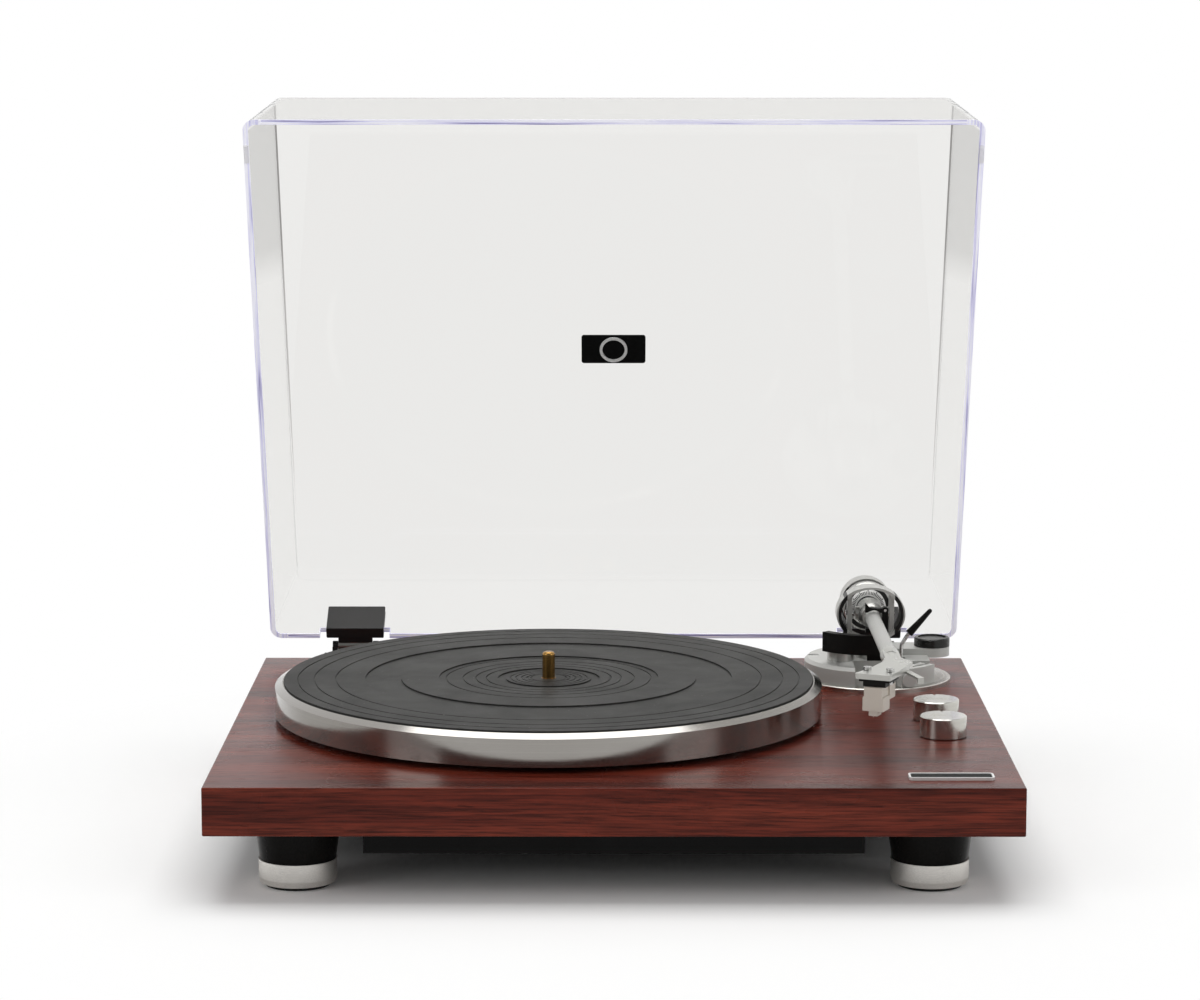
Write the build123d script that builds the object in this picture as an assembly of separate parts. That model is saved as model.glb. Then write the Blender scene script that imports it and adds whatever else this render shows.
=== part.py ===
from build123d import *
import math
import os

# Belt-driven turntable on a wooden plinth, with a gimbal tonearm and a hinged clear dust cover.
# All sizes are in millimetres.
# It is modelled with X to the right of the plinth's middle, Y back from the plinth's front
# face and Z up from the plinth's top face, then moved so that Z = 0 is the floor.

# Clearances
RUN = 0.05
GAP = 0.3
SCREW_GAP = 0.1

# Plinth and its underside
PLINTH_WIDTH = 420.0
PLINTH_DEPTH = 352.0
PLINTH_THICK = 25.4
PLINTH_EDGE = 0.8
WEB_THICK = 8.4
POCKET_MARGIN = 30.0
PLINTH_WALL = 14.0
FOOT_TRAY_GAP = 4.0
TRAY_FLANGE = 8.0
TRAY_SHEET = 2.0
TRAY_DEPTH = 16.0

# One pan-head screw holds the tray, motor, board, bearing, socket panel and hinges
SCREW_R = 1.5
SCREW_LENGTH = 9.0
SCREW_HEAD_R = 2.8
SCREW_HEAD = 1.6

# Feet
FOOT_INSET = 45.0
FOOT_CONE_TOP_R = 23.0
FOOT_CONE_BOTTOM_R = 19.9
FOOT_CONE_HEIGHT = 21.5
FOOT_RING_R = 20.5
FOOT_RING_BOTTOM_R = 19.9
FOOT_RING_HEIGHT = 12.2
FOOT_RING_TAPER = 3.0
FOOT_STUB_R = 15.5
FOOT_STUB_HEIGHT = 8.0
FOOT_PAD_R = 17.0
FOOT_PAD_THICK = 3.6
FOOT_PAD_PROUD = 2.0
FOOT_SCREW_R = 2.4
FOOT_SCREW_BITE = 14.0
FOOT_SCREW_HEAD_R = 4.6
FOOT_SCREW_HEAD = 3.0
FOOT_SCREW_WALL = 6.0

# Platter, mat and spindle
PLATTER_FROM_LEFT = 173.8
PLATTER_FROM_REAR = 167.3
PLATTER_R = 152.1
PLATTER_BOTTOM = 3.3
PLATTER_SIDE_TOP = 18.2
PLATTER_LIP_TOP = 20.6
PLATTER_LIP_R = 148.0
PLATTER_RECESS_R = 147.5
PLATTER_RECESS_Z = 18.3
PLATTER_WEB = 5.5
PLATTER_SKIRT = 8.1
DRIVE_RIM_R = 82.0
DRIVE_RIM_WALL = 4.0
DRIVE_RIM_BOTTOM = 5.0
PLATTER_HUB_R = 16.0
PLATTER_HUB_BOTTOM = 4.5
MAT_R = 147.0
MAT_TOP = 21.5
MAT_STEPS = ((102.0, -0.8), (82.0, 0.8), (61.0, -0.7), (28.4, -0.7), (23.7, 0.7))
MAT_GROOVES = (139.4, 130.2, 118.3, 57.0, 47.6, 40.5, 34.7, 21.3, 18.4, 15.1, 12.0, 10.0)
MAT_GROOVE_WIDTH = 0.8
MAT_GROOVE_DEPTH = 0.45
SPINDLE_R = 3.55
SPINDLE_LOWER_R = 4.0
SPINDLE_TOP = 35.7
SPINDLE_DOME = 1.8
SPINDLE_COLLAR_R = 9.0
SPINDLE_COLLAR_THICK = 1.6
BEARING_R = 8.0
BEARING_DEPTH = 24.0
BEARING_FLOOR = 4.0
BEARING_FLANGE_R = 18.0
BEARING_FLANGE = 2.4
BEARING_SCREW_PITCH_R = 13.0

# Belt drive
PULLEY_R = 7.0
PULLEY_BOTTOM = 5.2
PULLEY_TOP = 11.2
PULLEY_FLANGE = 0.9
PULLEY_FLANGE_R = 8.2
PULLEY_HUB_R = 4.0
BELT_THICK = 0.8
BELT_WIDTH = 4.0
BELT_CENTRES = 118.0
BELT_ANGLE = 160.0
MOTOR_R = 17.0
MOTOR_HEIGHT = 20.0
MOTOR_BOSS_R = 4.0
MOTOR_BOSS_HEIGHT = 3.0
MOTOR_SHAFT_R = 1.2
MOTOR_HOLE_R = 10.0
MOTOR_PLATE_HALF = 27.0
MOTOR_PLATE_DEPTH = 38.0
MOTOR_PLATE_THICK = 1.6
MOTOR_SCREW_X = 22.0

# Knobs and their switches
KNOB_R = 12.7
KNOB_TOP = 11.5
KNOB_FLOAT = 0.5
KNOB_CHAMFER = 0.5
KNOB_SKIRT_WALL = 3.2
KNOB_CAVITY_TOP = 4.0
KNOB_FROM_RIGHT = 31.2
SPEED_KNOB_Y = 127.3
POWER_KNOB_Y = 172.4
KNOB_NOTCH_WIDTH = 1.2
KNOB_NOTCH_LENGTH = 3.0
KNOB_NOTCH_DEPTH = 0.6
SWITCH_SHAFT_R = 3.0
SWITCH_SHAFT_BOTTOM = -15.0
SWITCH_BUSH_R = 4.5
SWITCH_BUSH_TOP = 2.6
SWITCH_BODY_HALF = 8.5
SWITCH_BODY_HEIGHT = 10.0
SWITCH_NUT_R = 6.5
SWITCH_NUT_THICK = 1.8

# Bare plate at the front right corner
BADGE_FROM_RIGHT = 36.3
BADGE_Y = 24.0
BADGE_LENGTH = 44.0
BADGE_DEPTH = 12.0
BADGE_CORNER = 2.5
BADGE_RIM_WIDTH = 1.1
BADGE_RIM_HEIGHT = 1.5
BADGE_FACE_HEIGHT = 1.0

# Rear panel and its sockets
PANEL_LENGTH = 112.0
PANEL_HEIGHT = 20.0
PANEL_THICK = 2.0
PANEL_Z = -13.0
PANEL_WINDOW_LENGTH = 96.0
PANEL_WINDOW_HEIGHT = 13.6
PANEL_SCREW_INSET = 4.0
RCA_XS = (-38.0, -22.0)
RCA_R = 4.15
RCA_LENGTH = 8.5
RCA_FLANGE_R = 5.6
RCA_FLANGE = 1.0
RCA_BORE_R = 1.7
RCA_TAIL = 9.0
RCA_NUT = 2.0
GROUND_X = -4.0
GROUND_STUD_R = 2.0
GROUND_KNOB_R = 4.6
GROUND_KNOB_LENGTH = 6.0
GROUND_TAIL = 7.0
SLIDE_SWITCH_X = 16.0
SLIDE_SWITCH_SLOT_HEIGHT = 3.4
SLIDE_SWITCH_TRAVEL = 3.0
SLIDE_SWITCH_STEM_LENGTH = 4.4
SLIDE_SWITCH_STEM_HEIGHT = 2.8
SLIDE_SWITCH_PROUD = 2.2
SLIDE_SWITCH_BODY_LENGTH = 15.0
SLIDE_SWITCH_BODY_HEIGHT = 8.0
SLIDE_SWITCH_BODY_DEPTH = 6.0
SLIDE_SWITCH_INNER = 3.0
DC_X = 37.0
DC_R = 5.2
DC_PROUD = 1.6
DC_BORE_R = 3.2
DC_PIN_R = 1.0
DC_DEPTH = 11.0

# Circuit board in the pocket
BOARD_X = 15.0
BOARD_FROM_REAR = 84.0
BOARD_LENGTH = 92.0
BOARD_DEPTH = 62.0
BOARD_THICK = 1.6
BOARD_DROP = 3.0
BOARD_HOLE_INSET = 5.0
BOARD_SPACER_R = 3.0
CAPACITOR_R = 4.0
CAPACITOR_HEIGHT = 9.5
CAPACITOR_PITCH = 13.0
CAPACITOR_COUNT = 4
CHIP_LENGTH = 16.0
CHIP_DEPTH = 8.0
CHIP_HEIGHT = 3.2
RELAY_LENGTH = 18.0
RELAY_DEPTH = 12.0
RELAY_HEIGHT = 9.0

# Arm base
BASE_FROM_REAR = 66.0
FLANGE_R = 44.0
FLANGE_THICK = 2.65
FLANGE_CHAMFER = 0.5
DRUM_R = 41.2
DRUM_TOP = 13.5
DRUM_BEVEL = 1.8
SCOOP_LEFT_OF_PIVOT = 11.0
SCOOP_FRONT_OF_PIVOT = 14.0
LEDGE_INNER_R = 32.5
LEDGE_OUTER_R = 36.0
LEDGE_TOP = 7.5
GUARD_INNER_R = 32.5
GUARD_OUTER_R = 42.0
GUARD_START = -68.0
GUARD_END = -31.0
GUARD_TOP = 13.2
GUARD_GROOVE_R = 37.2
GUARD_GROOVE_WIDTH = 2.4
GUARD_GROOVE_DEPTH = 1.6
BOSS_R = 3.9
BOSS_RIGHT = 20.0
BOSS_Z = 6.9
BOSS_PROUD = 3.0
PLATFORM_TOP = 17.2
PLATFORM_R = 10.3
PLATFORM_UNDERSIDE = 11.8
DRUM_RIGHT_OF_PIVOT = 34.0
PLATFORM_BEHIND_PIVOT = 15.0
PLATFORM_START = 10.0
SKATE_RIGHT_OF_PIVOT = 37.5
SKATE_CAP_R = 10.4
SKATE_CAP_HEIGHT = 5.0
SKATE_CAP_CHAMFER = 0.7
SKATE_DISH_R = 8.2
SKATE_DISH = 0.7
SKATE_STEM_R = 2.5
SKATE_STEM_DEPTH = 4.8
SPIGOT_R = 12.0
SPIGOT_DEPTH = 14.0
SPIGOT_BORE_EXTRA = 2.5
LEAD_BORE_R = 3.5
BASE_SCREW_PITCH_R = 36.0
BASE_SCREW_ANGLES = (100.0, 172.0)
BASE_SCREW_R = 1.6
BASE_SCREW_BITE = 5.0
BASE_SCREW_HEAD_R = 3.2
BASE_SCREW_HEAD = 1.8

# Arm pivot
ARM_ACROSS = 186.2
PIVOT_LEFT_OF_BASE = 3.0
PIVOT_Z = 39.5
PILLAR_R = 8.5
PILLAR_TOP = 22.9
PILLAR_STEM_R = 6.0
PILLAR_STEM_BOTTOM = 3.0
YOKE_SHAFT_R = 4.0
YOKE_SHAFT_BOTTOM = 4.0
RING_HALF_WIDTH = 20.0
RING_HALF_HEIGHT = 16.0
RING_WALL = 2.9
RING_TOP_WALL = 1.3
RING_DEPTH = 14.0
BAR_INNER = 10.9
BAR_WIDTH = 2.7
BAR_DEPTH = 9.0
RING_BOSS_R = 6.5
PIVOT_SCREW_R = 1.6
PIVOT_SCREW_TIP = 8.3
PIVOT_NUT_R = 3.6
PIVOT_NUT_INNER = 9.3
HUB_R = 7.4
HUB_FRONT = 15.0
HUB_FRONT_R = 5.6
HUB_NOSE = 6.0
HUB_REAR = 12.0
HUB_BOSS_R = 3.8
HUB_BOSS_REACH = 8.9
HUB_CUP_R = 2.0
HUB_CUP_DEPTH = 1.0

# Arm tube and headshell
ARM_SLOPE = 1.17
TUBE_R = 4.3
TUBE_WALL = 0.9
TUBE_SOCKET = 6.0
TUBE_REACH = 152.0
HEAD_TURN = 23.0
HEAD_FRONT_LEFT = 14.6
HEAD_FRONT_AHEAD = 47.4
HEAD_WIDTH = 19.8
HEAD_LENGTH = 16.0
HEAD_BOTTOM = 43.1
HEAD_THICK = 2.9
HEAD_WING_RIGHT = 9.6
HEAD_WING_AHEAD = 11.6
HEAD_NECK_LENGTH = 21.0
HEAD_NECK_TAPER = 12.5
HEAD_COLLAR_R = 5.1
HEAD_COLLAR_LENGTH = 5.0
HEAD_COLLAR_TAPER = 7.0
HEAD_RIB_TIP_R = 3.1
HEAD_SLOT_WIDTH = 2.7
HEAD_SLOT_LENGTH = 6.6
HEAD_SLOT_PITCH = 12.7
HEAD_SLOT_BACK = 11.0
LIFT_ROOT_RIGHT = 4.2
LIFT_ROOT_AHEAD = 4.4
LIFT_ASIDE = 7.0
LIFT_AHEAD = 24.5
LIFT_WIDTH = 3.4
LIFT_THICK = 1.2
LIFT_TIP_DROP = 2.0

# Cartridge
CART_SCREW_R = 1.25
CART_SCREW_HEAD_R = 2.2
CART_SCREW_HEAD = 1.8
CART_MOUNT_HEIGHT = 4.4
CART_MOUNT_WIDTH = 17.0
CART_MOUNT_LENGTH = 15.0
CART_MOUNT_PLATE = 1.9
CART_NECK_WIDTH = 12.4
CART_BODY_WIDTH = 11.6
CART_BODY_LENGTH = 9.0
CART_BODY_BOTTOM = 31.0
CART_SET_BACK = 1.5
STYLUS_UPPER_WIDTH = 10.0
STYLUS_LOWER_WIDTH = 11.4
STYLUS_SHOULDER_Z = 33.4
STYLUS_BOTTOM_Z = 26.0
STYLUS_LENGTH = 10.6
STYLUS_NOSE_WIDTH = 4.8
STYLUS_NOSE_Z = 23.4
STYLUS_NOSE_LENGTH = 6.5
CANTILEVER_R = 0.3
CANTILEVER_LENGTH = 5.0
STYLUS_TIP_Z = 22.6
CART_PIN_R = 0.6
CART_PIN_LENGTH = 4.0

# Counterweight
STUB_R = 3.5
STUB_END = 46.0
CARRIER_R = 5.5
CARRIER_START = 20.5
CARRIER_END = 36.0
CARRIER_LIP_R = 7.0
CARRIER_LIP = 1.5
WEIGHT_R = 14.4
WEIGHT_START = 22.4
WEIGHT_END = 48.5
WEIGHT_GROOVE_START = 29.8
WEIGHT_GROOVE_WIDTH = 2.2
WEIGHT_GROOVE_R = 11.2
WEIGHT_EDGE = 1.5
WEIGHT_REAR_R = 15.2
WEIGHT_RECESS_R = 10.5
WEIGHT_RECESS = 12.0
DIAL_R = 10.6
DIAL_FACE_R = 7.8
DIAL_START = 17.6
DIAL_BEVEL = 2.6
DIAL_LENGTH = 4.5

# Lifter, rest, latch and lever
LIFTER_INNER_R = 32.0
LIFTER_OUTER_R = 37.0
LIFTER_START = 218.0
LIFTER_END = 275.0
LIFTER_BOTTOM = 21.0
LIFTER_TOP = 32.4
LIFTER_FOOT = 1.8
LIFTER_WEB = 10.0
LIFTER_STEM_R = 2.5
LIFTER_STEM_BOTTOM = 8.0
CYLINDER_LEFT = 17.8
CYLINDER_FRONT = 10.0
CYLINDER_R = 7.7
CYLINDER_TOP = 19.7
POST_RIGHT = 6.5
POST_FRONT = 27.0
POST_WIDTH = 3.5
POST_FOOT_LEFT = 2.5
POST_FOOT_FRONT = 13.5
POST_FOOT_REAR = 9.5
POST_FOOT_TOP = 24.0
POST_BRIDGE = 4.0
POST_DEPTH = 5.0
POST_TOP = 43.6
SHELF_THICK = 2.4
SHELF_GAP = 0.4
SHELF_REACH = 4.6
LATCH_PIN_R = 0.8
LATCH_PIN_Z = 46.0
LATCH_EYE_R = 1.9
LATCH_EYE_LENGTH = 3.0
LATCH_CHEEK = 0.8
LATCH_REACH = 5.0
LATCH_HOOK_WIDTH = 1.2
LATCH_HOOK_Z = 44.7
LATCH_RISE = 1.45
LATCH_CLEAR = 0.3
LATCH_THICK = 1.1
LATCH_EAR_TOP = 49.7
LATCH_EAR_WIDTH = 2.4
LATCH_DEPTH = 4.4
LEVER_RIGHT = 17.8
LEVER_FRONT = 6.5
LEVER_PIVOT_Z = 9.0
LEVER_ROD_R = 1.1
LEVER_EYE_R = 2.4
LEVER_EYE_LENGTH = 4.0
LEVER_PIN_R = 0.8
LEVER_BEND = ((0.0, 21.6), (3.4, 27.2))
LEVER_BEND_R = 5.0
LEVER_TIP = (16.4, 41.7)
LEVER_ROD_REACH = 6.0
LEVER_GRIP_START = 1.5
LEVER_GRIP_R = 2.3
LEVER_GRIP_TIP_R = 1.3
LEVER_SLOT_WIDTH = 4.8
LEVER_SLOT_FRONT = 11.0
LEVER_SLOT_REAR = 5.0
LEVER_SLOT_FLOOR = 5.0

# Dust cover, drawn closed and then opened about its hinge
LID_SIDE_SET = 3.4
LID_FRONT_SET = 8.4
LID_HEIGHT = 62.0
LID_SHEET = 3.0
LID_SIDE_TAPER = 10.8
LID_REAR_TAPER = 4.1
LID_FRONT_TAPER = 14.4
LID_CORNER = 7.0
LID_EDGE = 3.5
LID_FLOAT = 1.0
LID_REAR_SET = 0.6
LID_OPEN = 67.5
BUMPER_BACK = 21.0
BUMPER_LENGTH = 11.0
BUMPER_WIDTH = 2.8
BUMPER_THICK = 0.6
EMBLEM_BACK = 166.6
EMBLEM_LENGTH = 38.0
EMBLEM_HEIGHT = 18.6
EMBLEM_THICK = 1.0
EMBLEM_CORNER = 1.6
EMBLEM_RING_R = 8.8
EMBLEM_RING_WALL = 1.6
EMBLEM_RING_HEIGHT = 0.9

# Hinges
HINGE_FROM_SIDE = 54.0
HINGE_BACK = 7.9
HINGE_Z = 6.0
HINGE_PIN_R = 1.5
HINGE_KNUCKLE_R = 3.0
HINGE_KNUCKLE_HALF = 10.3
HINGE_EAR_WIDTH = 3.2
HINGE_EAR_BOTTOM = 6.0
HINGE_PLATE_HALF = 18.4
HINGE_PLATE_THICK = 2.5
HINGE_PLATE_DROP = 19.0
HINGE_TAB_DEPTH = 8.0
HINGE_TAB_THICK = 2.6
HINGE_NECK_THICK = 3.0
HINGE_NECK_HALF = 10.3
HINGE_SCREW_X = 9.0
HINGE_SCREW_Z = -13.0
CLIP_HALF = 17.3
CLIP_THICK = 7.1
CLIP_OUTER = 2.0
CLIP_BOTTOM = 2.9
CLIP_LENGTH = 22.4
NOTCH_HALF = 21.0
NOTCH_HEIGHT = 6.2

# Places worked out from the sizes above
UNDER = -PLINTH_THICK
CEILING = -WEB_THICK
SLIDE_SWITCH_SLOT = SLIDE_SWITCH_STEM_LENGTH + SLIDE_SWITCH_TRAVEL + 2 * GAP
FOOT_TOP = UNDER
FOOT_RING_TOP = FOOT_TOP - FOOT_CONE_HEIGHT
FOOT_RING_BOTTOM = FOOT_RING_TOP - FOOT_RING_HEIGHT
FLOOR = FOOT_RING_BOTTOM - FOOT_PAD_PROUD
FOOT_X = PLINTH_WIDTH / 2 - FOOT_INSET
FOOT_CLEAR = FOOT_INSET + FOOT_CONE_TOP_R + TRAY_FLANGE + FOOT_TRAY_GAP
POCKET_HALF = PLINTH_WIDTH / 2 - FOOT_CLEAR
WING_HALF = PLINTH_WIDTH / 2 - PLINTH_WALL
WING_FRONT = FOOT_CLEAR
WING_REAR = PLINTH_DEPTH - FOOT_CLEAR
FOOT_YS = (FOOT_INSET, PLINTH_DEPTH - FOOT_INSET)
FOOT_PLACES = [(sx * FOOT_X, y) for sx in (-1, 1) for y in FOOT_YS]
PLATTER_X = PLATTER_FROM_LEFT - PLINTH_WIDTH / 2
PLATTER_Y = PLINTH_DEPTH - PLATTER_FROM_REAR
KNOB_X = PLINTH_WIDTH / 2 - KNOB_FROM_RIGHT
BADGE_X = PLINTH_WIDTH / 2 - BADGE_FROM_RIGHT
BOARD_Y = PLINTH_DEPTH - BOARD_FROM_REAR
BASE_Y = PLINTH_DEPTH - BASE_FROM_REAR
PIVOT_X = PLATTER_X + ARM_ACROSS
BASE_X = PIVOT_X + PIVOT_LEFT_OF_BASE
PIVOT_Y = BASE_Y
SCOOP_LEFT = PIVOT_X - SCOOP_LEFT_OF_PIVOT
SCOOP_REAR = PIVOT_Y - SCOOP_FRONT_OF_PIVOT
PLATFORM_Y = PIVOT_Y + PLATFORM_BEHIND_PIVOT
PLATFORM_LEFT = PIVOT_X + PLATFORM_START
SKATE_X = PIVOT_X + SKATE_RIGHT_OF_PIVOT
TUBE_END_Y = PIVOT_Y - TUBE_REACH
HEAD_FRONT_X = PIVOT_X - HEAD_FRONT_LEFT
HEAD_NECK_Y = TUBE_END_Y - HEAD_NECK_LENGTH
HEAD_NECK_FRONT = HEAD_NECK_Y - HEAD_NECK_TAPER
HEAD_FRONT_Y = HEAD_NECK_Y - HEAD_FRONT_AHEAD
HEAD_WING_X = PIVOT_X + HEAD_WING_RIGHT
HEAD_WING_Y = HEAD_NECK_Y - HEAD_WING_AHEAD
LIFT_ROOT_X = PIVOT_X + LIFT_ROOT_RIGHT
LIFT_ROOT_Y = HEAD_WING_Y - LIFT_ROOT_AHEAD
LIFT_TIP_X = LIFT_ROOT_X + LIFT_ASIDE
LIFT_TIP_Y = LIFT_ROOT_Y - LIFT_AHEAD
CYLINDER_X = PIVOT_X - CYLINDER_LEFT
CYLINDER_Y = PIVOT_Y - CYLINDER_FRONT
POST_X = PIVOT_X + POST_RIGHT
POST_Y = PIVOT_Y - POST_FRONT
SHELF_LEFT = PIVOT_X - SHELF_REACH
LATCH_LEFT = PIVOT_X - LATCH_REACH
BOSS_Y = PIVOT_Y - math.sqrt(GUARD_OUTER_R**2 - BOSS_RIGHT**2)
LEVER_X = PIVOT_X + LEVER_RIGHT
LEVER_Y = PIVOT_Y - LEVER_FRONT
LID_WIDTH = PLINTH_WIDTH - 2 * LID_SIDE_SET
LID_REAR_Y = PLINTH_DEPTH - LID_REAR_SET
LID_LENGTH = LID_REAR_Y - LID_FRONT_SET
HINGE_X = PLINTH_WIDTH / 2 - HINGE_FROM_SIDE
MOTOR_X = PLATTER_X + BELT_CENTRES * math.cos(math.radians(BELT_ANGLE))
MOTOR_Y = PLATTER_Y + BELT_CENTRES * math.sin(math.radians(BELT_ANGLE))
HINGE_Y = PLINTH_DEPTH + HINGE_BACK
TILT = Axis((PIVOT_X, PIVOT_Y, PIVOT_Z), (1, 0, 0))
HEAD_TOP = HEAD_BOTTOM + HEAD_THICK


def block(x0, x1, y0, y1, z0, z1):
    """Box between two corners."""
    return Pos((x0 + x1) / 2, (y0 + y1) / 2, (z0 + z1) / 2) * Box(x1 - x0, y1 - y0, z1 - z0)


def round_block(x0, x1, y0, y1, z0, z1, r):
    """Box with rounded upright corners."""
    outline = Pos((x0 + x1) / 2, (y0 + y1) / 2, z0) * RectangleRounded(x1 - x0, y1 - y0, r)
    return extrude(outline, z1 - z0)


def post(r, z0, z1, x=0.0, y=0.0):
    """Upright cylinder."""
    return Pos(x, y, (z0 + z1) / 2) * Cylinder(r, z1 - z0)


def cone(r0, r1, z0, z1, x=0.0, y=0.0):
    """Upright cone, radius r0 at z0 and r1 at z1."""
    return Pos(x, y, (z0 + z1) / 2) * Cone(r0, r1, z1 - z0)


def bar_x(r, x0, x1, y, z):
    """Cylinder along X."""
    return Pos((x0 + x1) / 2, y, z) * Rot(0, 90, 0) * Cylinder(r, x1 - x0)


def bar_y(r, y0, y1, x, z):
    """Cylinder along Y."""
    return Pos(x, (y0 + y1) / 2, z) * Rot(90, 0, 0) * Cylinder(r, y1 - y0)


def cone_y(r0, r1, y0, y1, x, z):
    """Cone along Y, radius r0 at y0 and r1 at y1."""
    return Pos(x, (y0 + y1) / 2, z) * Rot(90, 0, 0) * Cone(r1, r0, y1 - y0)


def turned(points, x=0.0, y=0.0):
    """Solid turned about an upright axis from a list of radius and height pairs."""
    profile = Plane.XZ * make_face(Polyline(*points, close=True))
    return Pos(x, y, 0) * revolve(profile, Axis.Z)


def turned_back(points):
    """Solid turned about the arm's level axis from radius and distance behind the pivot."""
    profile = make_face(Polyline(*[(r, b) for r, b in points], close=True))
    return Pos(PIVOT_X, PIVOT_Y, PIVOT_Z) * revolve(profile, Axis.Y)


def polar(r, angle, x=0.0, y=0.0):
    """Point at a radius and an angle in degrees about a centre."""
    return (x + r * math.cos(math.radians(angle)), y + r * math.sin(math.radians(angle)))


def sector(r0, r1, a0, a1, z0, z1, x, y):
    """Curved wall between two radii and two angles."""
    middle = (a0 + a1) / 2
    outer = ThreePointArc(polar(r1, a0, x, y), polar(r1, middle, x, y), polar(r1, a1, x, y))
    inner = ThreePointArc(polar(r0, a1, x, y), polar(r0, middle, x, y), polar(r0, a0, x, y))
    side_a = Line(polar(r1, a1, x, y), polar(r0, a1, x, y))
    side_b = Line(polar(r0, a0, x, y), polar(r1, a0, x, y))
    face = make_face(Curve() + [outer, side_a, inner, side_b])
    return Pos(0, 0, z0) * extrude(face, z1 - z0)


def plate(points, z0, z1):
    """Flat plate from a list of corners."""
    return Pos(0, 0, z0) * extrude(make_face(Polyline(*points, close=True)), z1 - z0)


def screw(r, length, head_r, head, x, y, z):
    """Screw under a face at height z: shank up, domed head down."""
    shank = post(r, z, z + length, x, y)
    cap = cone(head_r * 0.7, head_r, z - head, z, x, y)
    return shank + cap


def group(shapes):
    """Separate solids of one node."""
    return Compound(children=[solid for shape in shapes for solid in shape.solids()])


def cross_shape(grow, z0, z1):
    """Cross-shaped block over the pocket and its wings, larger by grow all round."""
    long_part = block(-POCKET_HALF - grow, POCKET_HALF + grow, POCKET_MARGIN - grow,
                      PLINTH_DEPTH - POCKET_MARGIN + grow, z0, z1)
    wide_part = block(-WING_HALF - grow, WING_HALF + grow, WING_FRONT - grow,
                      WING_REAR + grow, z0, z1)
    return long_part + wide_part


def tray_screw_places():
    """Screw places on the tray's flange."""
    middle = TRAY_FLANGE / 2
    front = POCKET_MARGIN - middle
    back = PLINTH_DEPTH - POCKET_MARGIN + middle
    wing_rows = ((WING_FRONT + WING_REAR) / 2 - 60, (WING_FRONT + WING_REAR) / 2 + 60)
    places = [(sx * POCKET_HALF * 0.7, y) for sx in (-1, 1) for y in (front, back)]
    return places + [(sx * (WING_HALF + middle), y) for sx in (-1, 1) for y in wing_rows]


def board_hole_places():
    """Corner holes of the circuit board."""
    dx = BOARD_LENGTH / 2 - BOARD_HOLE_INSET
    dy = BOARD_DEPTH / 2 - BOARD_HOLE_INSET
    return [(BOARD_X + sx * dx, BOARD_Y + sy * dy) for sx in (-1, 1) for sy in (-1, 1)]


def bearing_screw_places():
    """Three screws round the bearing."""
    return [polar(BEARING_SCREW_PITCH_R, a, PLATTER_X, PLATTER_Y) for a in (30, 150, 270)]


def base_screw_places():
    """Screws that hold the arm base's flange."""
    return [polar(BASE_SCREW_PITCH_R, a, BASE_X, BASE_Y) for a in BASE_SCREW_ANGLES]


def make_plinth():
    """Wooden plinth with its pocket, bores and screw holes."""
    body = block(-PLINTH_WIDTH / 2, PLINTH_WIDTH / 2, 0, PLINTH_DEPTH, UNDER, 0)
    body = fillet(body.edges(), PLINTH_EDGE)
    body -= cross_shape(0, UNDER - 1, CEILING)
    body -= post(BEARING_R + SCREW_GAP, CEILING - 1, 1, PLATTER_X, PLATTER_Y)
    body -= post(MOTOR_HOLE_R, CEILING - 1, 1, MOTOR_X, MOTOR_Y)
    for y in (SPEED_KNOB_Y, POWER_KNOB_Y):
        body -= post(SWITCH_BUSH_R + SCREW_GAP, CEILING - 1, 1, KNOB_X, y)
    bore_bottom = -SPIGOT_DEPTH - SPIGOT_BORE_EXTRA
    body -= post(SPIGOT_R + SCREW_GAP, bore_bottom, 1, PIVOT_X, PIVOT_Y)
    lead_z = -SPIGOT_DEPTH + LEAD_BORE_R
    body -= bar_x(LEAD_BORE_R, POCKET_HALF - 2, PIVOT_X - SPIGOT_R / 2, PIVOT_Y, lead_z)
    body -= block(-PANEL_WINDOW_LENGTH / 2, PANEL_WINDOW_LENGTH / 2,
                  PLINTH_DEPTH - POCKET_MARGIN - 1, PLINTH_DEPTH + 1,
                  PANEL_Z - PANEL_WINDOW_HEIGHT / 2, PANEL_Z + PANEL_WINDOW_HEIGHT / 2)
    for x, y in FOOT_PLACES:
        body -= post(FOOT_SCREW_R + SCREW_GAP, UNDER - 1, UNDER + FOOT_SCREW_BITE + 1, x, y)
    for x, y in tray_screw_places():
        body -= post(SCREW_R + SCREW_GAP, UNDER - 1, UNDER + SCREW_LENGTH, x, y)
    for x, y in bearing_screw_places():
        body -= post(SCREW_R + SCREW_GAP, CEILING - 1, 1, x, y)
    for x, y in board_hole_places():
        body -= post(SCREW_R + SCREW_GAP, CEILING - 1, CEILING + SCREW_LENGTH - BOARD_DROP, x, y)
    for side in (-1, 1):
        x = MOTOR_X + side * MOTOR_SCREW_X
        body -= post(SCREW_R + SCREW_GAP, CEILING - 1, 1, x, MOTOR_Y)
        x = side * (PANEL_LENGTH / 2 - PANEL_SCREW_INSET)
        body -= bar_y(SCREW_R + SCREW_GAP, PLINTH_DEPTH - SCREW_LENGTH, PLINTH_DEPTH + 1, x, PANEL_Z)
        for inner in (-1, 1):
            x = side * HINGE_X + inner * HINGE_SCREW_X
            body -= bar_y(SCREW_R + SCREW_GAP, PLINTH_DEPTH - SCREW_LENGTH, PLINTH_DEPTH + 1,
                          x, HINGE_SCREW_Z)
    for x, y in base_screw_places():
        body -= post(BASE_SCREW_R + SCREW_GAP, -BASE_SCREW_BITE, 1, x, y)
    return body


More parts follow.
